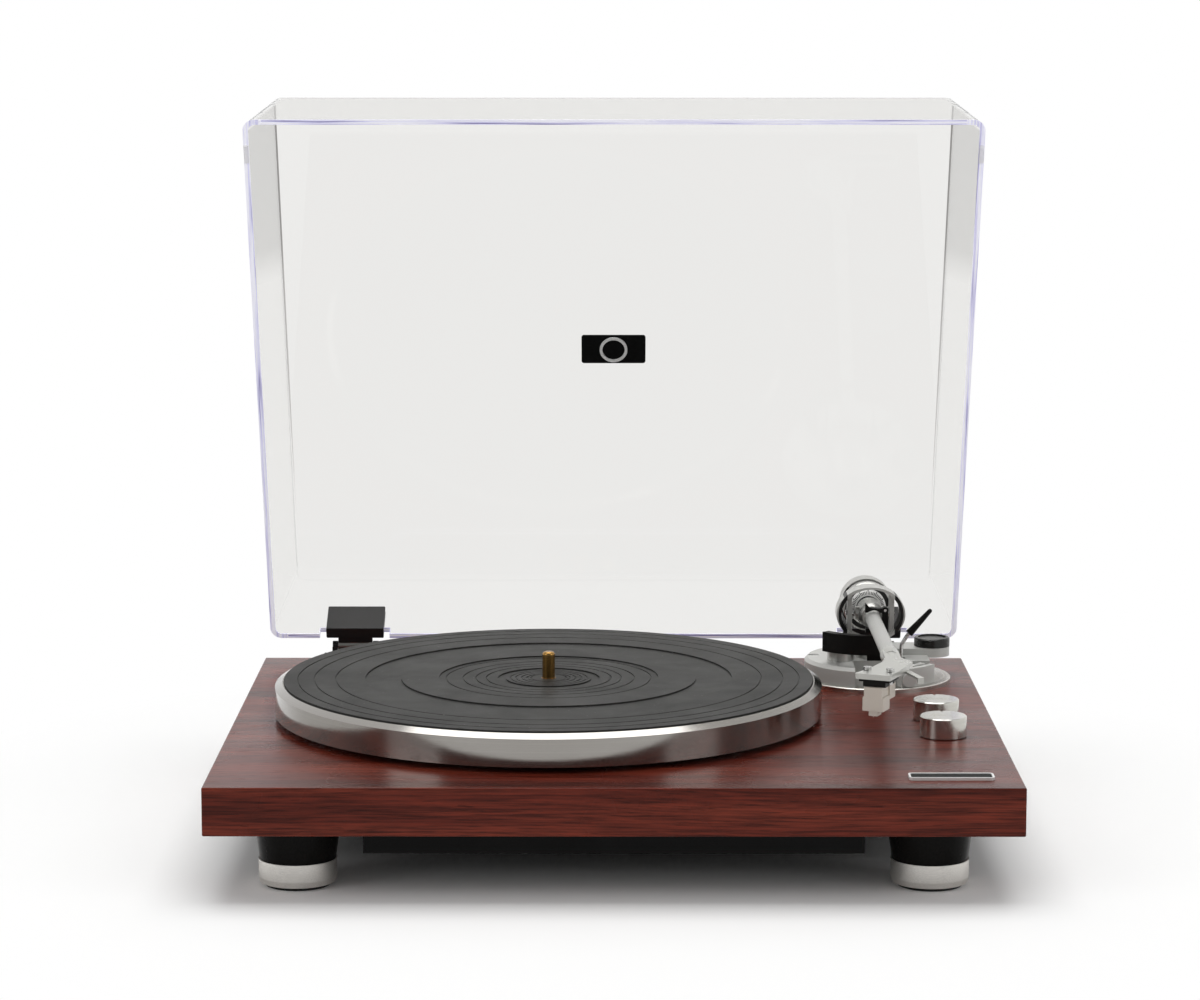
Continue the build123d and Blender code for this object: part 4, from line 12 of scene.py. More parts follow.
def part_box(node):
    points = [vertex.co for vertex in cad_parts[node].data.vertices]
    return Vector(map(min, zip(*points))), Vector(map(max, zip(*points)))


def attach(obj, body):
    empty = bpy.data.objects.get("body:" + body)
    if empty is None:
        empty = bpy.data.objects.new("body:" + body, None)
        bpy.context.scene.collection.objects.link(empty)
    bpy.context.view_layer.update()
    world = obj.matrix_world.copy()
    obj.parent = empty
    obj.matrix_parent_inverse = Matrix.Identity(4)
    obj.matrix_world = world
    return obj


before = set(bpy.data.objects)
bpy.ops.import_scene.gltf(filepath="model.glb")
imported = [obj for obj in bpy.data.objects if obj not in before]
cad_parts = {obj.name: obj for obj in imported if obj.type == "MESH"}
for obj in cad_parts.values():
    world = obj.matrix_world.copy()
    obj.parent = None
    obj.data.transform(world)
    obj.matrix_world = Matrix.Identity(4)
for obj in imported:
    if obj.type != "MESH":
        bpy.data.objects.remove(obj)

LOG = logging.getLogger("turntable")
MM = 0.001


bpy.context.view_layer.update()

Colour = tuple[float, float, float]
Triple = tuple[float, float, float]
WHITE = (1.0, 1.0, 1.0)
ORIGIN = (0.0, 0.0, 0.0)
UNSCALED = (1.0, 1.0, 1.0)
MIX_FIRST_COLOUR = 6
MIX_SECOND_COLOUR = 7
MIX_COLOUR_RESULT = 2


class Facing(Enum):
    """How the fine lines of a metal surface run."""

    TURNED = "turned about an upright axis"
    ALONG_X = "brushed along X"
    ALONG_Y = "turned about an axis along Y"


@dataclass(frozen=True)
class Place:
    """A point of the frame in metres."""

    x: float
    y: float
    z: float

    def vector(self) -> Vector:
        """Give the point as a vector."""
        return Vector((self.x, self.y, self.z))


def middle(node: str) -> Place:
    """Find the middle of a CAD node's box.

    Args:
        node: Name of the CAD node.

    Returns:
        The middle of its box at rest.
    """
    low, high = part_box(node)
    centre = (low + high) / 2
    return Place(centre.x, centre.y, centre.z)


class Tree:
    """Adds and links nodes in one node tree."""

    def __init__(self, tree: bpy.types.NodeTree) -> None:
        """Keep the node tree of a material, a world or a group."""
        self.tree = tree

    def add(self, kind: str, inputs: dict | None = None, **settings: object) -> bpy.types.Node:
        """Add one node.

        Args:
            kind: Type name of the node.
            inputs: Socket names or numbers, with a value or an output socket for each.
            settings: Attributes of the node.

        Returns:
            The new node.
        """
        node = self.tree.nodes.new(kind)
        for name, value in settings.items():
            setattr(node, name, value)
        self.feed(node, inputs or {})
        return node

    def feed(self, node: bpy.types.Node, inputs: dict) -> None:
        """Set or link a node's inputs.

        Args:
            node: The node.
            inputs: Socket names or numbers, with a value or an output socket for each.
        """
        for name, value in inputs.items():
            socket = node.inputs[name]
            if isinstance(value, bpy.types.NodeSocket):
                self.tree.links.new(value, socket)
            else:
                socket.default_value = (*value, 1.0) if socket.type == "RGBA" else value

    def math(self, operation: str, first: object, second: object = 0.0) -> object:
        """Add a Math node.

        Args:
            operation: Name of the operation.
            first: First value or output socket.
            second: Second value or output socket.

        Returns:
            The output socket.
        """
        return self.add("ShaderNodeMath", {0: first, 1: second}, operation=operation).outputs[0]

    def vectors(self, operation: str, first: object, second: object) -> object:
        """Add a Vector Math node on two vectors and give its vector."""
        node = self.add("ShaderNodeVectorMath", {0: first, 1: second}, operation=operation)
        return node.outputs[0]

    def length(self, vector: object) -> object:
        """Measure a vector."""
        return self.add("ShaderNodeVectorMath", {0: vector}, operation="LENGTH").outputs["Value"]

    def axes(self, vector: object) -> object:
        """Split a vector into its X, Y and Z sockets."""
        return self.add("ShaderNodeSeparateXYZ", {0: vector}).outputs

    def product(self, first: object, second: object) -> object:
        """Multiply two numbers."""
        return self.math("MULTIPLY", first, second)

    def spread(self, value: object, low: float, high: float, start: float = 0.0, end: float = 1.0) -> object:
        """Map a value from one range to another, clamped.

        Args:
            value: Output socket to map.
            low: Input that gives start.
            high: Input that gives end.
            start: Lowest result.
            end: Highest result.

        Returns:
            The output socket.
        """
        node = self.add("ShaderNodeMapRange", {"Value": value, "From Min": low, "From Max": high,
                                               "To Min": start, "To Max": end})
        return node.outputs["Result"]

    def between(self, share: object, start: float, end: float) -> object:
        """Go from start to end as a share goes from 0 to 1."""
        return self.spread(share, 0.0, 1.0, start, end)

    def noise(self, vector: object, detail: float = 2.0, rough: float = 0.5) -> object:
        """Add a noise texture and give its value.

        Args:
            vector: Output socket with the place.
            detail: Number of octaves.
            rough: Weight of the finer octaves.

        Returns:
            The value's output socket.
        """
        node = self.add("ShaderNodeTexNoise", {"Vector": vector, "Scale": 1.0, "Detail": detail,
                                               "Roughness": rough})
        return node.outputs["Fac"]

    def stretch(self, vector: object, scale: Triple, turn: Triple = ORIGIN) -> object:
        """Scale and turn a place before a texture reads it.

        Args:
            vector: Output socket with the place.
            scale: Factor along each axis.
            turn: Rotation in degrees about each axis.

        Returns:
            The vector's output socket.
        """
        angles = tuple(math.radians(a) for a in turn)
        node = self.add("ShaderNodeMapping", {"Vector": vector, "Scale": scale, "Rotation": angles})
        return node.outputs["Vector"]

    def blend(self, share: object, first: object, second: object, mode: str = "MIX") -> object:
        """Mix two colours.

        Args:
            share: Share of the second colour, as a value or an output socket.
            first: First colour, as three numbers or an output socket.
            second: Second colour, as three numbers or an output socket.
            mode: Blend mode.

        Returns:
            The colour's output socket.
        """
        node = self.add("ShaderNodeMix", {0: share, MIX_FIRST_COLOUR: first, MIX_SECOND_COLOUR: second},
                        data_type="RGBA", blend_type=mode)
        return node.outputs[MIX_COLOUR_RESULT]

    def ramp(self, value: object, stops: Iterable[tuple[float, Colour]]) -> object:
        """Colour a value.

        Args:
            value: Output socket with a number from 0 to 1.
            stops: Place and colour of each stop.

        Returns:
            The colour's output socket.
        """
        node = self.add("ShaderNodeValToRGB", {"Fac": value})
        wanted = list(stops)
        marks = node.color_ramp.elements
        while len(marks) < len(wanted):
            marks.new(0.5)
        for mark, (place, colour) in zip(marks, wanted):
            mark.position = place
            mark.color = (*colour, 1.0)
        return node.outputs["Color"]

    def object_place(self) -> object:
        """Give the place on the object, in the frame's metres."""
        return self.add("ShaderNodeTexCoord").outputs["Object"]


class Group:
    """A shared shader node group with named inputs and outputs."""

    def __init__(self, name: str, inputs: dict[str, object], *outputs: str) -> None:
        """Make the group's sockets: a place, the other inputs and some numbers as outputs.

        Args:
            name: Name of the group.
            inputs: Default value of each other input, a number or a vector.
            outputs: Name of each output.
        """
        self.tree = bpy.data.node_groups.new(name, "ShaderNodeTree")
        for label, default in {"Place": ORIGIN, **inputs}.items():
            kind = "NodeSocketVector" if isinstance(default, tuple) else "NodeSocketFloat"
            socket = self.tree.interface.new_socket(label, in_out="INPUT", socket_type=kind)
            socket.default_value = default
        for label in outputs:
            self.tree.interface.new_socket(label, in_out="OUTPUT", socket_type="NodeSocketFloat")
        self.bench = Tree(self.tree)
        self.source = self.bench.add("NodeGroupInput")
        self.sink = self.bench.add("NodeGroupOutput")

    def take(self, label: str) -> object:
        """Give one input of the group inside its tree."""
        return self.source.outputs[label]

    def give(self, label: str, socket: object) -> None:
        """Link a socket to one output of the group."""
        self.tree.links.new(socket, self.sink.inputs[label])

    def at(self, bench: Tree, place: object, **inputs: object) -> object:
        """Put the group into a material at a place, and give its output sockets."""
        return bench.add("ShaderNodeGroup", {"Place": place, **inputs}, node_tree=self.tree).outputs


class Effects:
    """The shader groups that several finishes share."""

    def __init__(self) -> None:
        """Build each group once."""
        self.smudge = self._smudge()
        self.lathe = self._lathe()
        self.brushed = self._brushed()
        self.moulded = self._moulded()
        self.dust = self._dust()

    @staticmethod
    def _smudge() -> Group:
        """Build soft patches from handling, as a value from 0 to 1."""
        group = Group("handling_smudge", {"Scale": 20.0}, "Patch")
        bench = group.bench
        node = bench.add("ShaderNodeTexNoise", {"Vector": group.take("Place"), "Scale": group.take("Scale"),
                                                "Detail": 4.0, "Roughness": 0.6, "Distortion": 0.4})
        group.give("Patch", bench.spread(node.outputs["Fac"], 0.35, 0.68))
        return group

    @staticmethod
    def _lathe() -> Group:
        """Build fine rings about an axis, from the distance to it and the place along it."""
        group = Group("lathe_rings", {"Centre": ORIGIN, "Density": 2500.0}, "Ring")
        bench = group.bench
        offset = bench.axes(bench.vectors("SUBTRACT", group.take("Place"), group.take("Centre")))
        flat = bench.add("ShaderNodeCombineXYZ", {0: offset[0], 1: offset[1]}).outputs[0]
        sides = bench.product(bench.length(flat), group.take("Density"))
        height = bench.product(offset[2], group.take("Density"))
        spot = bench.add("ShaderNodeCombineXYZ", {0: sides, 1: height}).outputs[0]
        fine = bench.noise(spot, detail=3.0, rough=0.65)
        group.give("Ring", bench.spread(fine, 0.3, 0.7))
        return group

    @staticmethod
    def _brushed() -> Group:
        """Build fine straight scratches along the first axis of the place."""
        group = Group("brushed_lines", {"Density": 2500.0}, "Line")
        bench = group.bench
        scaled = bench.vectors("MULTIPLY", group.take("Place"), (0.02, 1.0, 1.0))
        dense = bench.add("ShaderNodeVectorMath", {0: scaled, "Scale": group.take("Density")},
                          operation="SCALE")
        group.give("Line", bench.spread(bench.noise(dense.outputs[0], detail=3.0, rough=0.6), 0.3, 0.7))
        return group

    @staticmethod
    def _moulded() -> Group:
        """Build the fine orange-peel texture of moulded plastic and powder paint."""
        group = Group("moulded_skin", {"Grain": 1800.0}, "Height", "Speckle")
        bench = group.bench
        node = bench.add("ShaderNodeTexNoise", {"Vector": group.take("Place"), "Scale": group.take("Grain"),
                                                "Detail": 3.0, "Roughness": 0.55})
        group.give("Height", node.outputs["Fac"])
        group.give("Speckle", bench.spread(node.outputs["Fac"], 0.4, 0.6))
        return group

    @staticmethod
    def _dust() -> Group:
        """Build sparse pale specks of lint, as a mask."""
        group = Group("lint_specks", {"Scale": 700.0, "Amount": 0.1}, "Mask")
        bench = group.bench
        cells = bench.add("ShaderNodeTexVoronoi", {"Vector": group.take("Place"),
                                                   "Scale": group.take("Scale")})
        near = bench.spread(cells.outputs["Distance"], 0.16, 0.1)
        lot = bench.add("ShaderNodeSeparateColor", {0: cells.outputs["Color"]}).outputs[0]
        chosen = bench.math("LESS_THAN", lot, group.take("Amount"))
        group.give("Mask", bench.product(near, chosen))
        return group


def empty_tree(owner: bpy.types.ID) -> Tree:
    """Clear the node tree of a material or a world and give it."""
    owner.use_nodes = True
    owner.node_tree.nodes.clear()
    return Tree(owner.node_tree)


def bump(bench: Tree, shader: bpy.types.Node, height: object, strength: float, distance: float) -> None:
    """Feed a height into a shader's normal.

    Args:
        bench: The material's tree.
        shader: The Principled shader.
        height: Output socket with the height.
        strength: Strength of the bump, from 0 to 1.
        distance: Depth of the bump in metres.
    """
    node = bench.add("ShaderNodeBump", {"Height": height, "Strength": strength, "Distance": distance})
    bench.feed(shader, {"Normal": node.outputs["Normal"]})


class Finish:
    """A finish that builds its own material, round one Principled shader."""

    def build(self, effects: Effects) -> bpy.types.Material:
        """Build the material.

        Args:
            effects: The shared shader groups.

        Returns:
            The finished material.
        """
        material = bpy.data.materials.new(self.name)
        bench = empty_tree(material)
        shader = bench.add("ShaderNodeBsdfPrincipled")
        bench.add("ShaderNodeOutputMaterial", {"Surface": shader.outputs[0]})
        self.fill(bench, shader, effects)
        return material

    def fill(self, bench: Tree, shader: bpy.types.Node, effects: Effects) -> None:
        """Feed the shader.

        Args:
            bench: The material's tree.
            shader: Its Principled shader.
            effects: The shared shader groups.
        """


@dataclass(frozen=True)
class Veneer(Finish):
    """Red-brown veneer with dark fibres along X, under a satin lacquer."""

    name: str = "rosewood_veneer"
    dark: Colour = (0.024, 0.0040, 0.0024)
    main: Colour = (0.098, 0.0150, 0.0082)
    light: Colour = (0.170, 0.031, 0.0165)
    roughness: float = 0.26
    specular: float = 0.13
    wave: Triple = (3.0, 14.0, 14.0)
    wave_depth: float = 12.0 * MM
    band: Triple = (2.2, 55.0, 55.0)
    fibre: Triple = (30.0, 900.0, 900.0)
    pore: Triple = (70.0, 1500.0, 1500.0)
    pore_from: float = 0.62
    pore_to: float = 0.70
    pore_share: float = 0.65
    pore_dulls: float = 0.2
    patch_scale: float = 9.0
    relief: float = 0.25
    depth: float = 0.08 * MM

    def fill(self, bench: Tree, shader: bpy.types.Node, effects: Effects) -> None:
        """Feed the shader."""
        place = bench.object_place()
        wavy = bench.product(bench.noise(bench.stretch(place, self.wave)), self.wave_depth)
        shift = bench.add("ShaderNodeCombineXYZ", {1: wavy, 2: wavy}).outputs[0]
        bent = bench.vectors("ADD", place, shift)
        bands = bench.noise(bench.stretch(bent, self.band), detail=4.0, rough=0.55)
        fibres = bench.noise(bench.stretch(bent, self.fibre), detail=4.0, rough=0.6)
        pores = bench.noise(bench.stretch(bent, self.pore))
        colour = bench.ramp(bands, ((0.30, self.dark), (0.47, self.main), (0.72, self.light)))
        strand = bench.ramp(fibres, ((0.30, (0.30, 0.26, 0.25)), (0.52, (0.95, 0.95, 0.95)),
                                     (0.72, (1.45, 1.35, 1.30))))
        colour = bench.blend(1.0, colour, strand, "MULTIPLY")
        pore = bench.spread(pores, self.pore_from, self.pore_to)
        colour = bench.blend(bench.product(pore, self.pore_share), colour, self.dark)
        bench.feed(shader, {"Base Color": colour})
        patch = effects.smudge.at(bench, place, Scale=self.patch_scale)["Patch"]
        gloss = bench.between(patch, self.roughness - 0.04, self.roughness + 0.05)
        bench.feed(shader, {"Roughness": bench.math("ADD", gloss, bench.product(pore, self.pore_dulls)),
                            "Specular IOR Level": self.specular})
        bump(bench, shader, bench.math("SUBTRACT", fibres, pore), self.relief, self.depth)


@dataclass(frozen=True)
class Metal(Finish):
    """Bare metal with fine tool lines."""

    name: str
    colour: Colour
    roughness: float
    facing: Facing
    centre: Place = Place(*ORIGIN)
    density: float = 2500.0
    contrast: float = 0.12
    stretch: float = 0.0
    relief: float = 0.06
    smudge: float = 0.04
    metallic: float = 1.0
    patch_scale: float = 30.0
    depth: float = 0.03 * MM

    def cover(self, bench: Tree, place: object, shader: bpy.types.Node, colour: object,
              rough: object) -> tuple[object, object]:
        """Give the colour and roughness where painted shade may lie on the metal; here none does."""
        return colour, rough

    def fill(self, bench: Tree, shader: bpy.types.Node, effects: Effects) -> None:
        """Feed the shader."""
        spot = bench.object_place()
        place = spot
        centre = tuple(self.centre.vector())
        if self.facing is Facing.ALONG_Y:
            place = bench.stretch(place, UNSCALED, (90.0, 0.0, 0.0))
            centre = (self.centre.x, -self.centre.z, self.centre.y)
        if self.facing is Facing.ALONG_X:
            line = effects.brushed.at(bench, place, Density=self.density)["Line"]
        else:
            line = effects.lathe.at(bench, place, Centre=centre, Density=self.density)["Ring"]
        low = tuple(c * (1.0 - self.contrast) for c in self.colour)
        high = tuple(min(1.0, c * (1.0 + self.contrast / 2)) for c in self.colour)
        colour = bench.ramp(line, ((0.0, low), (1.0, high)))
        bench.feed(shader, {"Metallic": self.metallic})
        patch = effects.smudge.at(bench, place, Scale=self.patch_scale)["Patch"]
        rough = bench.between(line, self.roughness + 0.05, self.roughness - 0.03)
        rough = bench.math("ADD", rough, bench.product(patch, self.smudge))
        colour, rough = self.cover(bench, spot, shader, colour, rough)
        bench.feed(shader, {"Base Color": colour, "Roughness": rough})
        if self.stretch:
            axis = "Y" if self.facing is Facing.ALONG_Y else "Z"
            tangent = bench.add("ShaderNodeTangent", direction_type="RADIAL", axis=axis)
            bench.feed(shader, {"Anisotropic": self.stretch, "Tangent": tangent.outputs[0]})
        bump(bench, shader, line, self.relief, self.depth)


@dataclass(frozen=True)
class FacedMetal(Metal):
    """Bare metal whose front face and the channel round its middle are darkened near-black as painted shade.
    """

    face_y: float = 0.0
    # Near-black colour of the painted shade on the front face and channel.
    paint: Colour = (0.006, 0.006, 0.0055)
    face_shade_roughness: float = 0.5
    groove_start: float = 0.0
    groove_end: float = 0.0

    def cover(self, bench: Tree, place: object, shader: bpy.types.Node, colour: object,
              rough: object) -> tuple[object, object]:
        """Darken the front face and the channel with near-black painted shade."""
        back = bench.axes(place)[1]
        face = bench.math("LESS_THAN", back, self.face_y)
        inside = bench.product(bench.math("GREATER_THAN", back, self.groove_start),
                               bench.math("LESS_THAN", back, self.groove_end))
        # Mask of the painted shade: the front face and the channel.
        painted = bench.math("MAXIMUM", face, inside)
        bare = bench.math("SUBTRACT", 1.0, painted)
        bench.feed(shader, {"Metallic": bench.product(bare, self.metallic)})
        duller = bench.product(painted, self.face_shade_roughness - self.roughness)
        return bench.blend(painted, colour, self.paint), bench.math("ADD", rough, duller)


@dataclass(frozen=True)
class Moulding(Finish):
    """Moulded plastic, rubber or paint with a fine skin, faint patches and a little lint."""

    name: str
    colour: Colour
    roughness: float
    grain: float = 1800.0
    relief: float = 0.12
    lint: float = 0.0
    lift: float = 0.18
    metallic: float = 0.0
    specular: float = 0.5
    clear: float = 0.0
    patch_scale: float = 24.0
    lint_scale: float = 500.0
    lint_share: float = 0.5
    lint_colour: Colour = (0.45, 0.44, 0.42)
    depth: float = 0.06 * MM

    def cover(self, bench: Tree, place: object, colour: object) -> object:
        """Give the colour where painted shade may lie on the skin; here none does."""
        return colour

    def fill(self, bench: Tree, shader: bpy.types.Node, effects: Effects) -> None:
        """Feed the shader."""
        place = bench.object_place()
        skin = effects.moulded.at(bench, place, Grain=self.grain)
        patch = effects.smudge.at(bench, place, Scale=self.patch_scale)["Patch"]
        low = tuple(c * (1.0 - self.lift) for c in self.colour)
        high = tuple(min(1.0, c * (1.0 + self.lift)) for c in self.colour)
        colour = bench.ramp(skin["Speckle"], ((0.0, low), (1.0, high)))
        if self.lint:
            speck = effects.dust.at(bench, place, Scale=self.lint_scale, Amount=self.lint)["Mask"]
            share = bench.product(speck, self.lint_share)
            colour = bench.blend(share, colour, self.lint_colour)
        bench.feed(shader, {"Base Color": self.cover(bench, place, colour)})
        rough = bench.between(patch, self.roughness - 0.05, self.roughness + 0.06)
        bench.feed(shader, {"Roughness": rough, "Metallic": self.metallic,
                            "Transmission Weight": self.clear, "Specular IOR Level": self.specular})
        bump(bench, shader, skin["Height"], self.relief, self.depth)


@dataclass(frozen=True)
class InnerShadeRing(Moulding):
    """Silver paint on an oval ring whose inner wall beside the bars is darkened black as painted shade."""

    centre: Place = Place(*ORIGIN)
    half_width: float = 19.0 * MM
    half_height: float = 17.6 * MM
    bar_from: float = 13.8 * MM
    # Near-black colour of the painted shade on the inner wall.
    inner_wall_shade: Colour = (0.008, 0.008, 0.0075)

    def cover(self, bench: Tree, place: object, colour: object) -> object:
        """Darken the ring's inner wall beside the two bars with black painted shade."""
        parts = bench.axes(bench.vectors("SUBTRACT", place, tuple(self.centre.vector())))
        share_x = bench.math("DIVIDE", parts[0], self.half_width)
        share_z = bench.math("DIVIDE", parts[2], self.half_height)
        oval = bench.math("ADD", bench.product(share_x, share_x), bench.product(share_z, share_z))
        inner = bench.math("LESS_THAN", oval, 1.0)
        beside = bench.math("GREATER_THAN", bench.math("ABSOLUTE", parts[0]), self.bar_from)
        # Black painted shade on the inner wall beside the bars.
        return bench.blend(bench.product(inner, beside), colour, self.inner_wall_shade)


@dataclass(frozen=True)
class KnurledPaint(Finish):
    """Silver paint over a fine diamond knurl, as on the arm tube, with near-black painted shade in the
    knurl's grooves.
    """

    name: str = "knurled_silver"
    colour: Colour = (0.80, 0.80, 0.77)
    # Near-black painted shade for the knurl's grooves.
    groove_shade: Colour = (0.07, 0.07, 0.068)
    worn: Colour = (0.75, 0.75, 0.73)
    worn_share: float = 0.12
    groove_roughness: float = 0.5
    roughness: float = 0.34
    metallic: float = 0.6
    grain: float = 2500.0
    pitch: float = 3.4 * MM
    around: float = 14.0
    tube_slope: float = 0.0204
    full_turn: float = 6.2832
    relief: float = 0.6
    depth: float = 0.25 * MM

    def fill(self, bench: Tree, shader: bpy.types.Node, effects: Effects) -> None:
        """Feed the shader."""
        place = bench.object_place()
        pivot = middle("pivot_screws")
        parts = bench.axes(place)
        across = bench.math("SUBTRACT", parts[0], pivot.x)
        rise = bench.math("SUBTRACT", parts[2], pivot.z)
        slope = bench.product(bench.math("SUBTRACT", parts[1], pivot.y), self.tube_slope)
        around = bench.math("ARCTAN2", across, bench.math("ADD", rise, slope))
        along = bench.math("DIVIDE", parts[1], self.pitch / self.full_turn)
        turns = bench.product(around, self.around)
        first = bench.math("SINE", bench.math("ADD", along, turns))
        second = bench.math("SINE", bench.math("SUBTRACT", along, turns))
        weave = bench.spread(bench.math("MAXIMUM", first, second), -0.2, 0.9)
        skin = effects.moulded.at(bench, place, Grain=self.grain)
        # The knurl's grooves get near-black painted shade; the crests keep the silver colour.
        colour = bench.ramp(weave, ((0.0, self.groove_shade), (1.0, self.colour)))
        speckle = bench.product(skin["Speckle"], self.worn_share)
        rough = bench.between(weave, self.groove_roughness, self.roughness)
        bench.feed(shader, {"Base Color": bench.blend(speckle, colour, self.worn),
                            "Metallic": self.metallic, "Roughness": rough})
        bump(bench, shader, weave, self.relief, self.depth)


@dataclass(frozen=True)
class HingePlastic(Finish):
    """Black plastic round a steel barrel on the hinge's axis."""

    name: str = "hinge_clip"
    black: Colour = (0.012, 0.011, 0.011)
    steel: Colour = (0.42, 0.42, 0.40)
    black_worn: Colour = (0.05, 0.05, 0.05)
    steel_worn: Colour = (0.2, 0.2, 0.19)
    black_worn_share: float = 0.15
    steel_worn_share: float = 0.3
    black_roughness: float = 0.38
    steel_roughness: float = 0.3
    barrel: float = 3.4 * MM
    grain: float = 1800.0
    density: float = 3000.0
    specular: float = 0.3
    relief: float = 0.1
    depth: float = 0.06 * MM

    def fill(self, bench: Tree, shader: bpy.types.Node, effects: Effects) -> None:
        """Feed the shader."""
        place = bench.object_place()
        hinge = middle("hinge_pins")
        moved = bench.vectors("SUBTRACT", place, (0.0, hinge.y, hinge.z))
        flat = bench.vectors("MULTIPLY", moved, (0.0, 1.0, 1.0))
        metal = bench.math("LESS_THAN", bench.length(flat), self.barrel)
        skin = effects.moulded.at(bench, place, Grain=self.grain)
        line = effects.brushed.at(bench, place, Density=self.density)["Line"]
        black = bench.blend(bench.product(skin["Speckle"], self.black_worn_share),
                            self.black, self.black_worn)
        steel = bench.blend(bench.product(line, self.steel_worn_share), self.steel, self.steel_worn)
        bench.feed(shader, {"Base Color": bench.blend(metal, black, steel), "Metallic": metal,
                            "Roughness": bench.between(metal, self.black_roughness, self.steel_roughness),
                            "Specular IOR Level": self.specular})
        bump(bench, shader, skin["Height"], self.relief, self.depth)


@dataclass(frozen=True)
class ClearAcrylic(Finish):
    """Clear acrylic whose sawn edges carry painted light in pale violet: an emission with light and dark
    streaks.
    """

    name: str = "clear_acrylic"
    clear: Colour = (0.84, 0.835, 0.82)
    # Colours of the painted light on the sawn edges, from dark to pale.
    edge_dark: Colour = (0.16, 0.14, 0.36)
    edge_main: Colour = (0.66, 0.65, 0.86)
    edge_pale: Colour = (0.84, 0.84, 0.93)
    painted_edge_light: float = 0.22
    rim_depth: float = 0.8 * MM
    open_angle: float = 67.5
    rim_below_pin: float = 5.0 * MM
    notch_centre: float = 156.0 * MM
    notch_half: float = 21.25 * MM
    notch_above_pin: float = 1.45 * MM
    wall_reach: float = 12.5 * MM
    side_wall: float = 196.0 * MM
    streak_fine: float = 620.0
    streak_coarse: float = 14.0
    ior: float = 1.25
    specular: float = 0.2
    edge_roughness: float = 0.35
    haze: float = 0.012
    patch_scale: float = 6.0
    cloud: Triple = (9.0, 9.0, 9.0)
    cloud_share: float = 0.10
    cloud_colour: Colour = (0.93, 0.93, 0.92)
    shadow: Colour = (0.95, 0.95, 0.95)

    def _sawn(self, bench: Tree, closed: object) -> object:
        """Find the sawn edges: the cover's rim and the sides of the two hinge notches.

        Args:
            bench: The material's tree.
            closed: Output socket with the place from the pin, as if the cover were shut.

        Returns:
            A mask, 1 on the sawn edges.
        """
        parts = bench.axes(closed)
        low = -self.rim_below_pin
        rim = bench.spread(parts[2], low + self.rim_depth, low + self.rim_depth * 0.3)
        aside = bench.math("ABSOLUTE", parts[0])
        off = bench.math("ABSOLUTE", bench.math("SUBTRACT", aside, self.notch_centre))
        near = bench.math("LESS_THAN", off, self.notch_half)
        under = bench.math("LESS_THAN", parts[2], self.notch_above_pin)
        back = bench.math("GREATER_THAN", parts[1], -self.wall_reach)
        notch = bench.product(bench.product(near, under), back)
        return bench.math("MAXIMUM", rim, notch)

    def _streaks(self, bench: Tree, closed: object) -> object:
        """Draw the painted light and dark lines that run along the sawn rim.

        Args:
            bench: The material's tree.
            closed: Output socket with the place from the pin, as if the cover were shut.

        Returns:
            A value from 0 to 1, low in the dark lines.
        """
        fine, coarse = self.streak_fine, self.streak_coarse
        along_y = bench.noise(bench.stretch(closed, (fine, coarse, coarse)))
        along_x = bench.noise(bench.stretch(closed, (coarse, fine, coarse)))
        aside = bench.math("ABSOLUTE", bench.axes(closed)[0])
        side = bench.math("GREATER_THAN", aside, self.side_wall)
        return bench.add("ShaderNodeMix", {0: side, 2: along_x, 3: along_y}).outputs[0]

    def fill(self, bench: Tree, shader: bpy.types.Node, effects: Effects) -> None:
        """Feed the shader."""
        place = bench.object_place()
        hinge = middle("hinge_pins")
        moved = bench.vectors("SUBTRACT", place, (0.0, hinge.y, hinge.z))
        closed = bench.stretch(moved, UNSCALED, (self.open_angle, 0.0, 0.0))
        sawn = self._sawn(bench, closed)
        faint = bench.noise(bench.stretch(place, self.cloud))
        colour = bench.blend(bench.product(faint, self.cloud_share), self.clear, self.cloud_colour)
        patch = effects.smudge.at(bench, place, Scale=self.patch_scale)["Patch"]
        bench.feed(shader, {"Base Color": colour, "Transmission Weight": 1.0, "IOR": self.ior,
                            "Specular IOR Level": self.specular,
                            "Roughness": bench.between(patch, 0.0, self.haze)})
        # Painted light: the sawn edges shine by emission in violet, with painted streaks.
        edge_light_colour = bench.ramp(self._streaks(bench, closed), ((0.30, self.edge_dark), (0.44, self.edge_main),
                                                         (0.58, self.edge_pale)))
        edge = bench.add("ShaderNodeBsdfPrincipled", {"Base Color": edge_light_colour, "Roughness": self.edge_roughness,
                                                      "Emission Color": edge_light_colour,
                                                      "Emission Strength": self.painted_edge_light})
        body = bench.add("ShaderNodeMixShader", {0: sawn, 1: shader.outputs[0], 2: edge.outputs[0]})
        clear = bench.add("ShaderNodeBsdfTransparent", {"Color": self.shadow})
        path = bench.add("ShaderNodeLightPath")
        mixed = bench.add("ShaderNodeMixShader", {0: path.outputs["Is Shadow Ray"], 1: body.outputs[0],
                                                  2: clear.outputs[0]})
        output = next(n for n in bench.tree.nodes if n.type == "OUTPUT_MATERIAL")
        bench.feed(output, {"Surface": mixed.outputs[0]})


